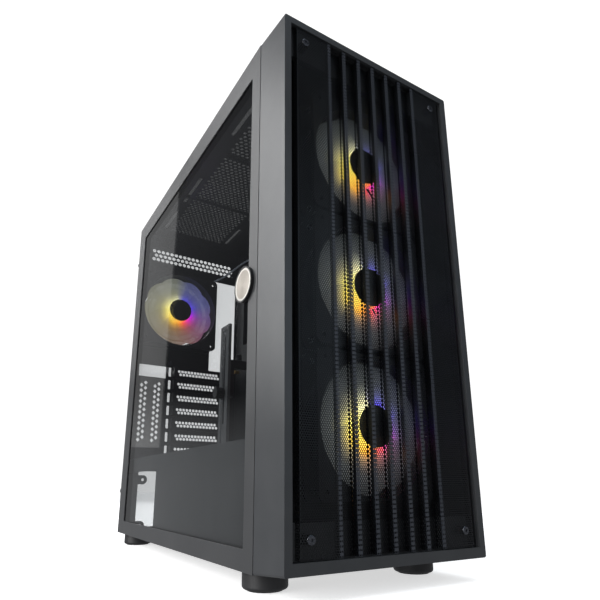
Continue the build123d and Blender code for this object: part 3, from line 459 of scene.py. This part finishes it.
def dust_filter(name, box, panes, corner, low, tabs=()):
    """A framed net lying level: a rim with a row of windows, and one net across them all."""
    x0, x1, y0, y1 = box
    pitch = (y1 - y0 - FILTER_RIM) / panes
    windows = [oblong(x0 + FILTER_RIM, x1 - FILTER_RIM, y0 + FILTER_RIM + pitch * i, y0 + pitch * (i + 1), 3)
               for i in range(panes)]
    rim = plate(f"{name}_filter_rim", [oblong(*box, corner), *windows], low, FILTER_THICK)
    if tabs:
        add_blocks(rim, tabs)
    rim.data.materials.append(rim_black)
    net_outline = oblong(x0 + NET_EDGE, x1 - NET_EDGE, y0 + NET_EDGE, y1 - NET_EDGE)
    net = plate(f"{name}_filter_net", [net_outline], low + NET_THICK, NET_THICK)
    net.data.materials.append(net_black)
    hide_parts(f"{name}_dust_filter")
    for piece in (rim, net):
        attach(piece, f"{name}_filter")


rim_black = rim_finish()
net_black = net_finish()
dust_filter("top", TOP_FILTER, 3, 4, ROOF_Z)
dust_filter("bottom", LOW_FILTER, 2, 2, LOW_FILTER_Z, [PULL_TAB])

# ---- standoffs, grommets and screws ----
# Brass hexagon standoffs are pressed into the tray. Black rubber grommets line its cable holes. The screws are
# hardened steel with a black oxide finish, slightly oily, and the thumbscrews are turned and fluted.


def metal(name, dark, light, gloss, streak=(1, 1, 1), per_metre=900.0):
    """Bare or oxidised metal with fine tool marks and uneven shine."""
    made, tree, shader = finish(name, Metallic=1.0)
    marks = grain(tree, per_metre, 3.0, streak)
    tree.links.new(shades(tree, marks, [(0.3, dark), (0.7, light)]), shader.inputs["Base Color"])
    tree.links.new(spread(tree, marks, *gloss), shader.inputs["Roughness"])
    relief(tree, shader, marks, 0.00003, 0.0002)
    return made


def moulded(name, dark, light, gloss=(0.4, 0.55), per_metre=1500.0, depth=0.00005, **plain):
    """Moulded plastic or rubber with a fine eroded skin."""
    made, tree, shader = finish(name, **plain)
    skin = grain(tree, per_metre, 2.0)
    cloud = grain(tree, 40, 4.0)
    tree.links.new(shades(tree, cloud, [(0.3, dark), (0.7, light)]), shader.inputs["Base Color"])
    tree.links.new(spread(tree, skin, *gloss), shader.inputs["Roughness"])
    relief(tree, shader, skin, depth, 0.0004)
    return made


paint(metal("turned_brass", (0.55, 0.36, 0.12), (0.72, 0.52, 0.24), (0.22, 0.38)), "motherboard_standoffs")
rubber = moulded("rubber", (0.008, 0.008, 0.009), (0.018, 0.018, 0.019), (0.6, 0.8), 900.0, 0.0001)
paint(rubber, "cable_grommets", "foot_pads", "glass_tape")
black_oxide = metal("black_oxide", (0.06, 0.062, 0.07), (0.15, 0.155, 0.175), (0.22, 0.4))
paint(black_oxide, "mesh_screws", "fan_screws", "slot_strip_screws", "thumbscrew_left_low",
      "thumbscrew_left_top", "thumbscrew_right_low", "thumbscrew_right_top")

# ---- feet, drive trays and rails ----
# Injection-moulded black plastic with a dull eroded skin. The feet are screwed up into the pan, the trays
# slide in the cage and the rails carry the lower filter.
dull_plastic = moulded("dull_plastic", (0.012, 0.012, 0.013), (0.022, 0.022, 0.024))
paint(dull_plastic, "feet", "filter_rails", "drive_tray_1", "drive_tray_2")

# ---- fans ----
# Four 120 mm fans with moulded black frames. Each hub carries nine frosted blades, and a ring of coloured
# lamps sits behind the hub. Their light in the blades is a painted glow, bright at the root and fading
# outward.
# The lamps stay still while the blades turn.
BLADES = 9
BLADE_CHORD = math.radians(48)
BLADE_SWEEP = math.radians(26)
BLADE_DEPTH = 5.0
BLADE_MIDDLE = 12.0
BLADE_ROOT, BLADE_TIP = 17.0, 56.3
HUB_PROFILE = [(0.3, 2.9), (15.8, 2.9), (17.2, 3.3), (17.9, 4.4), (18.0, 6.0), (18.0, 20.0), (16.6, 20.0),
               (16.4, 5.6), (15.0, 4.4), (0.3, 4.4)]
FAN_CENTRES = {"front_fan_low": (0.0, -25.0, 110.0), "front_fan_middle": (0.0, -25.0, 233.5),
               "front_fan_top": (0.0, -25.0, 357.0), "rear_fan": (-36.0, 387.2, 334.0)}
LAMP_COLOURS = [(0.0, (0.95, 0.8, 0.15)), (0.125, (1.0, 0.68, 0.08)), (0.25, (1.0, 0.38, 0.04)),
                (0.32, (1.0, 0.12, 0.06)), (0.40, (0.9, 0.02, 0.45)), (0.485, (0.5, 0.03, 0.9)),
                (0.56, (0.12, 0.06, 0.95)), (0.71, (0.1, 0.08, 0.8)), (0.77, (0.82, 0.8, 0.5)),
                (1.0, (0.95, 0.8, 0.15))]
# The pale colour and the two tables below set the blades' painted glow.
FAR_TINT = (0.66, 0.76, 0.84)
REAR_BLADE_PAINTED_GLOW = {"glow": 2.0, "far": 0.19, "paleness": 0.4}
FRONT_BLADE_PAINTED_GLOW = {"glow": 2.3, "far": 0.022, "paleness": 0.9}


def lamp_light(tree, centre):
    """The colour of the lamps by direction round a fan's axis, and the distance from that axis."""
    where = tree.nodes.new("ShaderNodeNewGeometry")
    shift = tree.nodes.new("ShaderNodeVectorMath")
    shift.operation = "SUBTRACT"
    shift.inputs[1].default_value = centre
    apart = tree.nodes.new("ShaderNodeSeparateXYZ")
    flat = tree.nodes.new("ShaderNodeCombineXYZ")
    tree.links.new(where.outputs["Position"], shift.inputs[0])
    tree.links.new(shift.outputs["Vector"], apart.inputs["Vector"])
    tree.links.new(apart.outputs["X"], flat.inputs["X"])
    tree.links.new(apart.outputs["Z"], flat.inputs["Y"])
    around = tree.nodes.new("ShaderNodeTexGradient")
    around.gradient_type = "RADIAL"
    tree.links.new(flat.outputs["Vector"], around.inputs["Vector"])
    reach = tree.nodes.new("ShaderNodeVectorMath")
    reach.operation = "LENGTH"
    tree.links.new(flat.outputs["Vector"], reach.inputs[0])
    return shades(tree, around.outputs["Fac"], LAMP_COLOURS), reach.outputs["Value"]


def blade_with_painted_glow(name, centre, glow, far, paleness):
    """Frosted clear plastic; the lamps' light in it is a painted glow, in their colours at the hub and pale at
    the tip.

    glow is how bright it is at the hub, far its share of that at the tip, and paleness how grey the tip is."""
    made, tree, shader = finish(name, IOR=1.49, Roughness=0.3)
    colour, distance = lamp_light(tree, centre)
    frost = grain(tree, 1200, 2.0)
    out = spread(tree, distance, 0.0, 1.0, 0.018, 0.056)
    fade = shades(tree, out, [(0.0, (1.0,) * 3), (0.16, (0.55,) * 3), (0.32, (0.2 + far / 2,) * 3),
                              (0.5, (0.05 + far,) * 3), (1.0, (far,) * 3)])
    pale = blended(tree, spread(tree, out, 0.0, paleness, 0.1, 0.6), colour, FAR_TINT)
    tree.links.new(pale, shader.inputs["Emission Color"])
    # Painted glow: emission on the blades, strongest near the axis, stands in for the lamps' light.
    tree.links.new(spread(tree, fade, 0.0, glow, 0.0, 1.0), shader.inputs["Emission Strength"])
    tree.links.new(shades(tree, frost, [(0.3, (0.09, 0.097, 0.093)), (0.7, (0.12, 0.127, 0.123))]),
                   shader.inputs["Base Color"])
    tree.links.new(spread(tree, frost, 0.25, 0.4), shader.inputs["Roughness"])
    tree.links.new(spread(tree, distance, 0.97, 0.7, 0.018, 0.05), shader.inputs["Alpha"])
    relief(tree, shader, frost, 0.00004)
    return made


def lit_lamp(name, centre):
    """The lamps' diffuser ring and the windings behind it, brightest in the lamps' own colours."""
    made, tree, shader = finish(name, Roughness=0.4)
    colour = lamp_light(tree, centre)[0]
    beads = grain(tree, 700, 1.0)
    tree.links.new(colour, shader.inputs["Emission Color"])
    tree.links.new(spread(tree, beads, 2.0, 3.2), shader.inputs["Emission Strength"])
    tree.links.new(colour, shader.inputs["Base Color"])
    return made


def round_axis(maker, centre, radius, turn, depth):
    """Adds a point by its distance from a fan's axis, its turn about the axis and its depth along it."""
    return maker.verts.new(((radius * math.cos(turn) + centre[0] + CASE_TO_ROW.x) * MM,
                            (depth + centre[1] + CASE_TO_ROW.y) * MM,
                            (radius * math.sin(turn) + centre[2] + CASE_TO_ROW.z) * MM))


def blade_point(out, along, side):
    """Radius, turn and depth of a point of a blade's skin, where out goes from 0 at the hub to 1 at the tip,
    along from -0.5 to 0.5 between the blade's edges, and side is -1 on its front and 1 on its back."""
    rounding = 1.0 - 0.10 * max(0.0, out - 0.85) / 0.15 * (2 * abs(along)) ** 2
    radius = (BLADE_ROOT + (BLADE_TIP - BLADE_ROOT) * out) * rounding
    turn = BLADE_SWEEP * out**1.4 + along * BLADE_CHORD
    pitched = along * BLADE_DEPTH * (1.0 - 0.18 * out)
    camber = (2.0 * math.cos(math.pi * along) - 1.0) * (1 - 0.4 * out)
    half_thick = 0.6 * math.sqrt(max(0.0, 1.0 - (2 * along) ** 4)) + 0.12
    return radius, turn, BLADE_MIDDLE + pitched + camber + side * half_thick


def add_blade(maker, centre, start, across=8, outward=12):
    """Adds one swept and pitched blade, a closed thin shell, to a mesh being made."""
    skins = []
    for side in (-1, 1):
        skin = []
        for i in range(outward + 1):
            points = [blade_point(i / outward, j / across - 0.5, side) for j in range(across + 1)]
            skin.append([round_axis(maker, centre, radius, start + turn, y) for radius, turn, y in points])
        skins.append(skin)
    front, back = skins
    for i in range(outward):
        for j in range(across):
            maker.faces.new((front[i][j], front[i][j + 1], front[i + 1][j + 1], front[i + 1][j]))
            maker.faces.new((back[i][j], back[i + 1][j], back[i + 1][j + 1], back[i][j + 1]))
    rim = [(i, 0) for i in range(outward + 1)] + [(outward, j) for j in range(1, across + 1)]
    rim += [(i, across) for i in range(outward - 1, -1, -1)] + [(0, j) for j in range(across - 1, 0, -1)]
    for (a, b), (c, d) in zip(rim, rim[1:] + rim[:1]):
        maker.faces.new((front[a][b], front[c][d], back[c][d], back[a][b]))


def turned(maker, centre, profile, steps=64):
    """Adds a closed turned shape to a mesh being made: the profile's points are radius and depth."""
    turns = [2 * math.pi * i / steps for i in range(steps)]
    rings = [[round_axis(maker, centre, radius, turn, depth) for turn in turns] for radius, depth in profile]
    for first, second in zip(rings, rings[1:] + rings[:1]):
        for i in range(steps):
            maker.faces.new((first[i], first[(i + 1) % steps], second[(i + 1) % steps], second[i]))


def finished_mesh(name, maker):
    """Turns a mesh being made into a smooth-shaded piece."""
    bmesh.ops.recalc_face_normals(maker, faces=maker.faces)
    mesh = bpy.data.meshes.new(name)
    maker.to_mesh(mesh)
    maker.free()
    for face in mesh.polygons:
        face.use_smooth = True
    mesh.set_sharp_from_angle(angle=math.radians(40))
    piece = bpy.data.objects.new(name, mesh)
    bpy.context.scene.collection.objects.link(piece)
    return piece


fan_plastic = moulded("fan_plastic", (0.012, 0.012, 0.014), (0.02, 0.02, 0.023), (0.35, 0.5))
hub_black = moulded("hub_black", (0.006, 0.006, 0.007), (0.012, 0.012, 0.013), (0.3, 0.42))
for fan, centre in FAN_CENTRES.items():
    axis = (Vector(centre) + CASE_TO_ROW) * MM
    maker = bmesh.new()
    turned(maker, centre, HUB_PROFILE)
    for number in range(BLADES):
        add_blade(maker, centre, 2 * math.pi * number / BLADES)
    wheel = finished_mesh(f"{fan}_wheel", maker)
    light = REAR_BLADE_PAINTED_GLOW if fan == "rear_fan" else FRONT_BLADE_PAINTED_GLOW
    wheel.data.materials.append(blade_with_painted_glow(f"{fan}_frosted", axis, **light))
    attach(wheel, f"{fan}_rotor")
    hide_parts(f"{fan}_impeller")
    paint(lit_lamp(f"{fan}_lamps", axis), f"{fan}_motor")
    paint(fan_plastic, f"{fan}_frame")
    paint(hub_black, f"{fan}_hub_cap")

# ---- front-panel sockets and buttons ----
# A small circuit board hangs under the roof with the sockets and switches soldered to it. The sockets are
# plated steel shells and black moulded bodies, and the round buttons are glossy black.


def board_finish():
    """Solder mask over copper: dark green with paler tracks."""
    made, tree, shader = finish("solder_mask", Coat_Weight=0.4)
    tracks = grain(tree, 180, stretch=(1, 2.5, 1), kind="ShaderNodeTexVoronoi")
    tree.links.new(shades(tree, tracks, [(0.1, (0.03, 0.16, 0.07)), (0.5, (0.008, 0.05, 0.02))]),
                   shader.inputs["Base Color"])
    tree.links.new(spread(tree, tracks, 0.3, 0.45, 0.0, 1.0), shader.inputs["Roughness"])
    relief(tree, shader, tracks, 0.00005)
    return made


paint(board_finish(), "io_board")
paint(metal("plated_shell", (0.45, 0.45, 0.46), (0.62, 0.62, 0.63), (0.2, 0.35), (1, 1, 0.1)), "usb_sockets")
paint(moulded("socket_black", (0.008, 0.008, 0.009), (0.015, 0.015, 0.016), (0.3, 0.45)), "audio_sockets",
      "panel_switches")
gloss_black = moulded("gloss_black", (0.012, 0.012, 0.013), (0.02, 0.02, 0.022), (0.12, 0.22), 700.0, 0.00001,
                      Coat_Weight=0.3)
paint(gloss_black, "power_button", "reset_button")

# ---- graphics card support ----
# A folded and coated post stands on the shroud, and a black arm slides up and down it. A fluted plastic knob
# on the arm's stud clamps it at the card's height.
post_coat = powder_coat("post_coat", (0.05, 0.052, 0.055), (0.075, 0.077, 0.08))
paint(post_coat, "card_support_post")
paint(powder_coat("arm_coat", (0.01, 0.01, 0.011), (0.016, 0.016, 0.017)), "card_support_arm")
paint(dull_plastic, "card_support_knob")

# ---- side panels ----
# Both panels are the same folded sheet, with the front and the top and bottom edges hemmed and a lip at the
# rear for the thumbscrews. They have a smoother coat than the chassis. The left one is cut open for the glass.
# Its last colour is the painted highlight along the panels' edges.
panel_coat = powder_coat("panel_coat", (0.034, 0.035, 0.037), (0.042, 0.043, 0.045), (0.36, 0.44),
                         (0.09, 0.093, 0.098))
paint(panel_coat, "glass_panel_frame", "right_side_panel", "psu_shroud")

# ---- glass pane and its pull ----
# Tempered glass, 3 mm, lightly smoked, stuck to the panel with black foam tape. The round pull goes through a
# bored hole and is held by a nut. It is a black cup with a pale spun disc in its face.


def smoked_glass():
    """Clear dark glass: it passes a tinted view and mirrors more at a slant."""
    made = bpy.data.materials.new("smoked_glass")
    made.use_nodes = True
    tree = made.node_tree
    tree.nodes.remove(tree.nodes["Principled BSDF"])
    through = tree.nodes.new("ShaderNodeBsdfTransparent")
    mirror = tree.nodes.new("ShaderNodeBsdfGlossy")
    mirror.inputs["Roughness"].default_value = 0.02
    slant = tree.nodes.new("ShaderNodeLayerWeight")
    slant.inputs["Blend"].default_value = 0.5
    rise = tree.nodes.new("ShaderNodeMath")
    rise.operation = "POWER"
    rise.inputs[1].default_value = 5.0
    smear = grain(tree, 9, 4.0)
    tree.links.new(shades(tree, smear, [(0.3, (0.80, 0.81, 0.815)), (0.7, (0.83, 0.84, 0.845))]),
                   through.inputs["Color"])
    tree.links.new(slant.outputs["Facing"], rise.inputs[0])
    share = spread(tree, rise.outputs["Value"], 0.04, 1.0, 0.0, 1.0)
    tree.links.new(layered(tree, share, through.outputs["BSDF"], mirror.outputs["BSDF"]),
                   tree.nodes["Material Output"].inputs["Surface"])
    return made


def spun_disc():
    """Pale anodised aluminium with fine rings from the lathe, and a painted highlight: a paler colour round
    the chamfered rim.
    """
    made, tree, shader = finish("spun_disc", Metallic=0.9)
    low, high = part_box("panel_pull_disc")
    place = tree.nodes.new("ShaderNodeTexCoord")
    reach = tree.nodes.new("ShaderNodeVectorMath")
    reach.operation = "DISTANCE"
    reach.inputs[1].default_value = (low + high) / 2
    tree.links.new(place.outputs["Object"], reach.inputs[0])
    rings = tree.nodes.new("ShaderNodeMath")
    rings.operation = "SINE"
    tree.links.new(spread(tree, reach.outputs["Value"], 0.0, 220.0, 0.0, 0.015), rings.inputs[0])
    lathe = shades(tree, spread(tree, rings.outputs["Value"], 0.0, 1.0, -1.0, 1.0),
                   [(0.0, (0.26, 0.235, 0.205)), (1.0, (0.38, 0.35, 0.31))])
    # The rim is painted paler, a painted highlight where the chamfer catches the light.
    rim = spread(tree, reach.outputs["Value"], 0.0, 1.0, 0.0124, 0.0129)
    tree.links.new(blended(tree, rim, lathe, (0.62, 0.60, 0.56)), shader.inputs["Base Color"])
    tree.links.new(spread(tree, rings.outputs["Value"], 0.28, 0.4, -1.0, 1.0), shader.inputs["Roughness"])
    relief(tree, shader, rings.outputs["Value"], 0.00001)
    return made


paint(smoked_glass(), "glass_pane")
paint(moulded("pull_black", (0.01, 0.01, 0.011), (0.016, 0.016, 0.017), (0.25, 0.35)), "panel_pull")
paint(spun_disc(), "panel_pull_disc")

# ---- front bezel ----
# A moulded frame that tapers slightly to its face. Its skin is finely eroded and a touch glossier than the
# steel, and its rim stands round the recessed mesh. Six pins snap it into the chassis.
bezel_skin = moulded("bezel_skin", (0.032, 0.034, 0.037), (0.040, 0.042, 0.045), (0.34, 0.42), 1300.0, 0.00003)
paint(bezel_skin, "bezel_frame")

# ---- front mesh ----
# One sheet of steel, punched all over with small staggered holes, then folded into six upright grooves
# between flat bands and coated satin black. Four screws hold it to the bezel. It is made here in eight strips.
MESH_FACE = -40.0
MESH_HALF = 86.6
MESH_LOW, MESH_HIGH = 12.8, 456.2
MESH_THICK = 0.35
MESH_PITCH = 2.0
MESH_HOLE = 0.84
GROOVES, GROOVE_WIDTH, RIB_WIDTH, GROOVE_DEPTH = 6, 14.1, 3.2, 6.9
EDGE_RETURN = 6.0
GROOVE_STEP = GROOVE_WIDTH + RIB_WIDTH
LAST_RIB = GROOVES / 2 + 0.1


def upright(place, level):
    """A point of the front sheet: place is across and in depth, and level is its height."""
    return (Vector((place.x, place.y, level)) + CASE_TO_ROW) * MM


def fold_columns(line, runs, sides):
    """The sheet's upright lines, the way to the back face at each, and each run's first line and count."""
    columns, ways, spans = [], [], []
    for number, (start, run, side) in enumerate(zip(line, runs, sides)):
        count = max(1, round(run.length / MESH_PITCH))
        spans.append((len(columns), count))
        last = number == len(runs) - 1
        for i in range(2 * count + last):
            columns.append(Vector(start) + run * (i / (2 * count)))
            fold = (sides[number - 1] + side).normalized() if i == 0 and number else side
            ways.append(fold / fold.dot(side))
    return columns, ways, spans


def punch(verts, faces, cell, back, centre, ahead, side, middle):
    """Punches a cell: adds a six-sided hole's rim on both faces, the sheet round it and its wall."""
    base = len(verts)
    for layer in (0, MESH_THICK):
        for turn in (210, 270, 330, 30, 90, 150):
            angle = math.radians(turn)
            place = centre + side * layer + ahead * (MESH_HOLE * math.cos(angle))
            verts.append(upright(place, middle + MESH_HOLE * math.sin(angle)))
    for k in range(6):
        n = (k + 1) % 6
        faces.append((cell[k], cell[n], base + n, base + k))
        faces.append((cell[n] + back, cell[k] + back, base + 6 + k, base + 6 + n))
        faces.append((base + k, base + n, base + 6 + n, base + 6 + k))


def edge_faces(wide, rows, back):
    """The narrow faces that close the sheet all round."""
    faces = []
    top = rows * wide
    for i in range(wide - 1):
        faces.append((i + 1, i, i + back, i + 1 + back))
        faces.append((top + i, top + i + 1, top + i + 1 + back, top + i + back))
    for row in range(rows):
        a, b = row * wide, row * wide + wide - 1
        faces.append((a, a + wide, a + wide + back, a + back))
        faces.append((b + wide, b, b + back, b + wide + back))
    return faces


def folded_sheet(name, line):
    """A punched sheet folded along a line's corners and closed all round, with its holes in staggered rows."""
    runs = [Vector(b) - Vector(a) for a, b in zip(line, line[1:])]
    sides = [Vector((-run.y, run.x)).normalized() for run in runs]
    columns, ways, spans = fold_columns(line, runs, sides)
    rows = round((MESH_HIGH - MESH_LOW) / (MESH_PITCH * math.sqrt(3) / 2))
    levels = [MESH_LOW + (MESH_HIGH - MESH_LOW) * i / rows for i in range(rows + 1)]
    wide = len(columns)
    verts = [upright(column, level) for level in levels for column in columns]
    back = len(verts)
    backs = [column + way * MESH_THICK for column, way in zip(columns, ways)]
    verts += [upright(column, level) for level in levels for column in backs]
    faces = []
    for row in range(rows):
        middle = (levels[row] + levels[row + 1]) / 2
        stagger = row % 2
        for (first, count), run, side in zip(spans, runs, sides):
            for column in (first, first + 2 * count - 1) if stagger else ():
                a = row * wide + column
                faces.append((a, a + 1, a + 1 + wide, a + wide))
                faces.append((a + back, a + wide + back, a + 1 + wide + back, a + 1 + back))
            for column in range(first + stagger, first + 2 * count - stagger, 2):
                a = row * wide + column
                cell = (a, a + 1, a + 2, a + 2 + wide, a + 1 + wide, a + wide)
                punch(verts, faces, cell, back, columns[column + 1], run.normalized(), side, middle)
    mesh = bpy.data.meshes.new(name)
    mesh.from_pydata(verts, [], faces + edge_faces(wide, rows, back))
    piece = bpy.data.objects.new(name, mesh)
    bpy.context.scene.collection.objects.link(piece)
    return piece


def mesh_finish():
    """The sheet's satin coat, with a painted highlight: paler along the outer faces of the ribs, where they
    catch the light.
    """
    made, tree, shader = finish("mesh_coat", Specular_IOR_Level=0.4)
    cloud = grain(tree, 26, 5.0)
    where = tree.nodes.new("ShaderNodeTexCoord")
    apart = tree.nodes.new("ShaderNodeSeparateXYZ")
    tree.links.new(where.outputs["Object"], apart.inputs["Vector"])
    from_rib = tree.nodes.new("ShaderNodeMath")
    from_rib.operation = "PINGPONG"
    step, middle = GROOVE_STEP * MM, CASE_TO_ROW.x * MM
    from_rib.inputs[1].default_value = step / 2
    tree.links.new(spread(tree, apart.outputs["X"], 0.0, 20 * step, middle - 10 * step, middle + 10 * step),
                   from_rib.inputs[0])
    on_rib = spread(tree, from_rib.outputs["Value"], 1.0, 0.0, RIB_WIDTH / 2 * MM, (RIB_WIDTH / 2 + 0.3) * MM)
    near_left = spread(tree, apart.outputs["X"], 0.0, 1.0, middle - (LAST_RIB + 0.02) * step,
                       middle - LAST_RIB * step)
    near_right = spread(tree, apart.outputs["X"], 1.0, 0.0, middle + LAST_RIB * step,
                        middle + (LAST_RIB + 0.02) * step)
    rib_face = (MESH_FACE + CASE_TO_ROW.y) * MM
    outer = spread(tree, apart.outputs["Y"], 1.0, 0.0, rib_face + 0.0006, rib_face + 0.0012)
    # The ribs' outer faces get a painted highlight: a paler colour where they catch the light.
    painted_rib_highlight = on_rib
    for share in (outer, near_left, near_right):
        together = tree.nodes.new("ShaderNodeMath")
        together.operation = "MULTIPLY"
        tree.links.new(painted_rib_highlight, together.inputs[0])
        tree.links.new(share, together.inputs[1])
        painted_rib_highlight = together.outputs["Value"]
    coat = shades(tree, cloud, [(0.3, (0.003, 0.0036, 0.0052)), (0.7, (0.0055, 0.0066, 0.009))])
    tree.links.new(blended(tree, painted_rib_highlight, coat, (0.034, 0.038, 0.048)), shader.inputs["Base Color"])
    tree.links.new(spread(tree, cloud, 0.3, 0.42), shader.inputs["Roughness"])
    relief(tree, shader, grain(tree, 850, 2.0), 0.00004)
    return made


mesh_coat = mesh_finish()
first_groove = -(GROOVES * GROOVE_WIDTH + (GROOVES - 1) * RIB_WIDTH) / 2
strips = []
for number in range(GROOVES):
    left = first_groove + number * GROOVE_STEP
    right = left + GROOVE_WIDTH
    floor_y = MESH_FACE + GROOVE_DEPTH
    strips.append([(left - RIB_WIDTH / 2, MESH_FACE), (left, MESH_FACE), (left, floor_y), (right, floor_y),
                   (right, MESH_FACE), (right + RIB_WIDTH / 2, MESH_FACE)])
outer_left = strips[0][0][0]
strips.insert(0, [(-MESH_HALF, MESH_FACE + EDGE_RETURN), (-MESH_HALF, MESH_FACE), (outer_left, MESH_FACE)])
strips.append([(-outer_left, MESH_FACE), (MESH_HALF, MESH_FACE), (MESH_HALF, MESH_FACE + EDGE_RETURN)])
for number, line in enumerate(strips, start=1):
    strip = folded_sheet(f"front_mesh_strip_{number}", line)
    strip.data.materials.append(mesh_coat)
    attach(strip, "bezel")
    if number == 1:
        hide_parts("front_mesh")
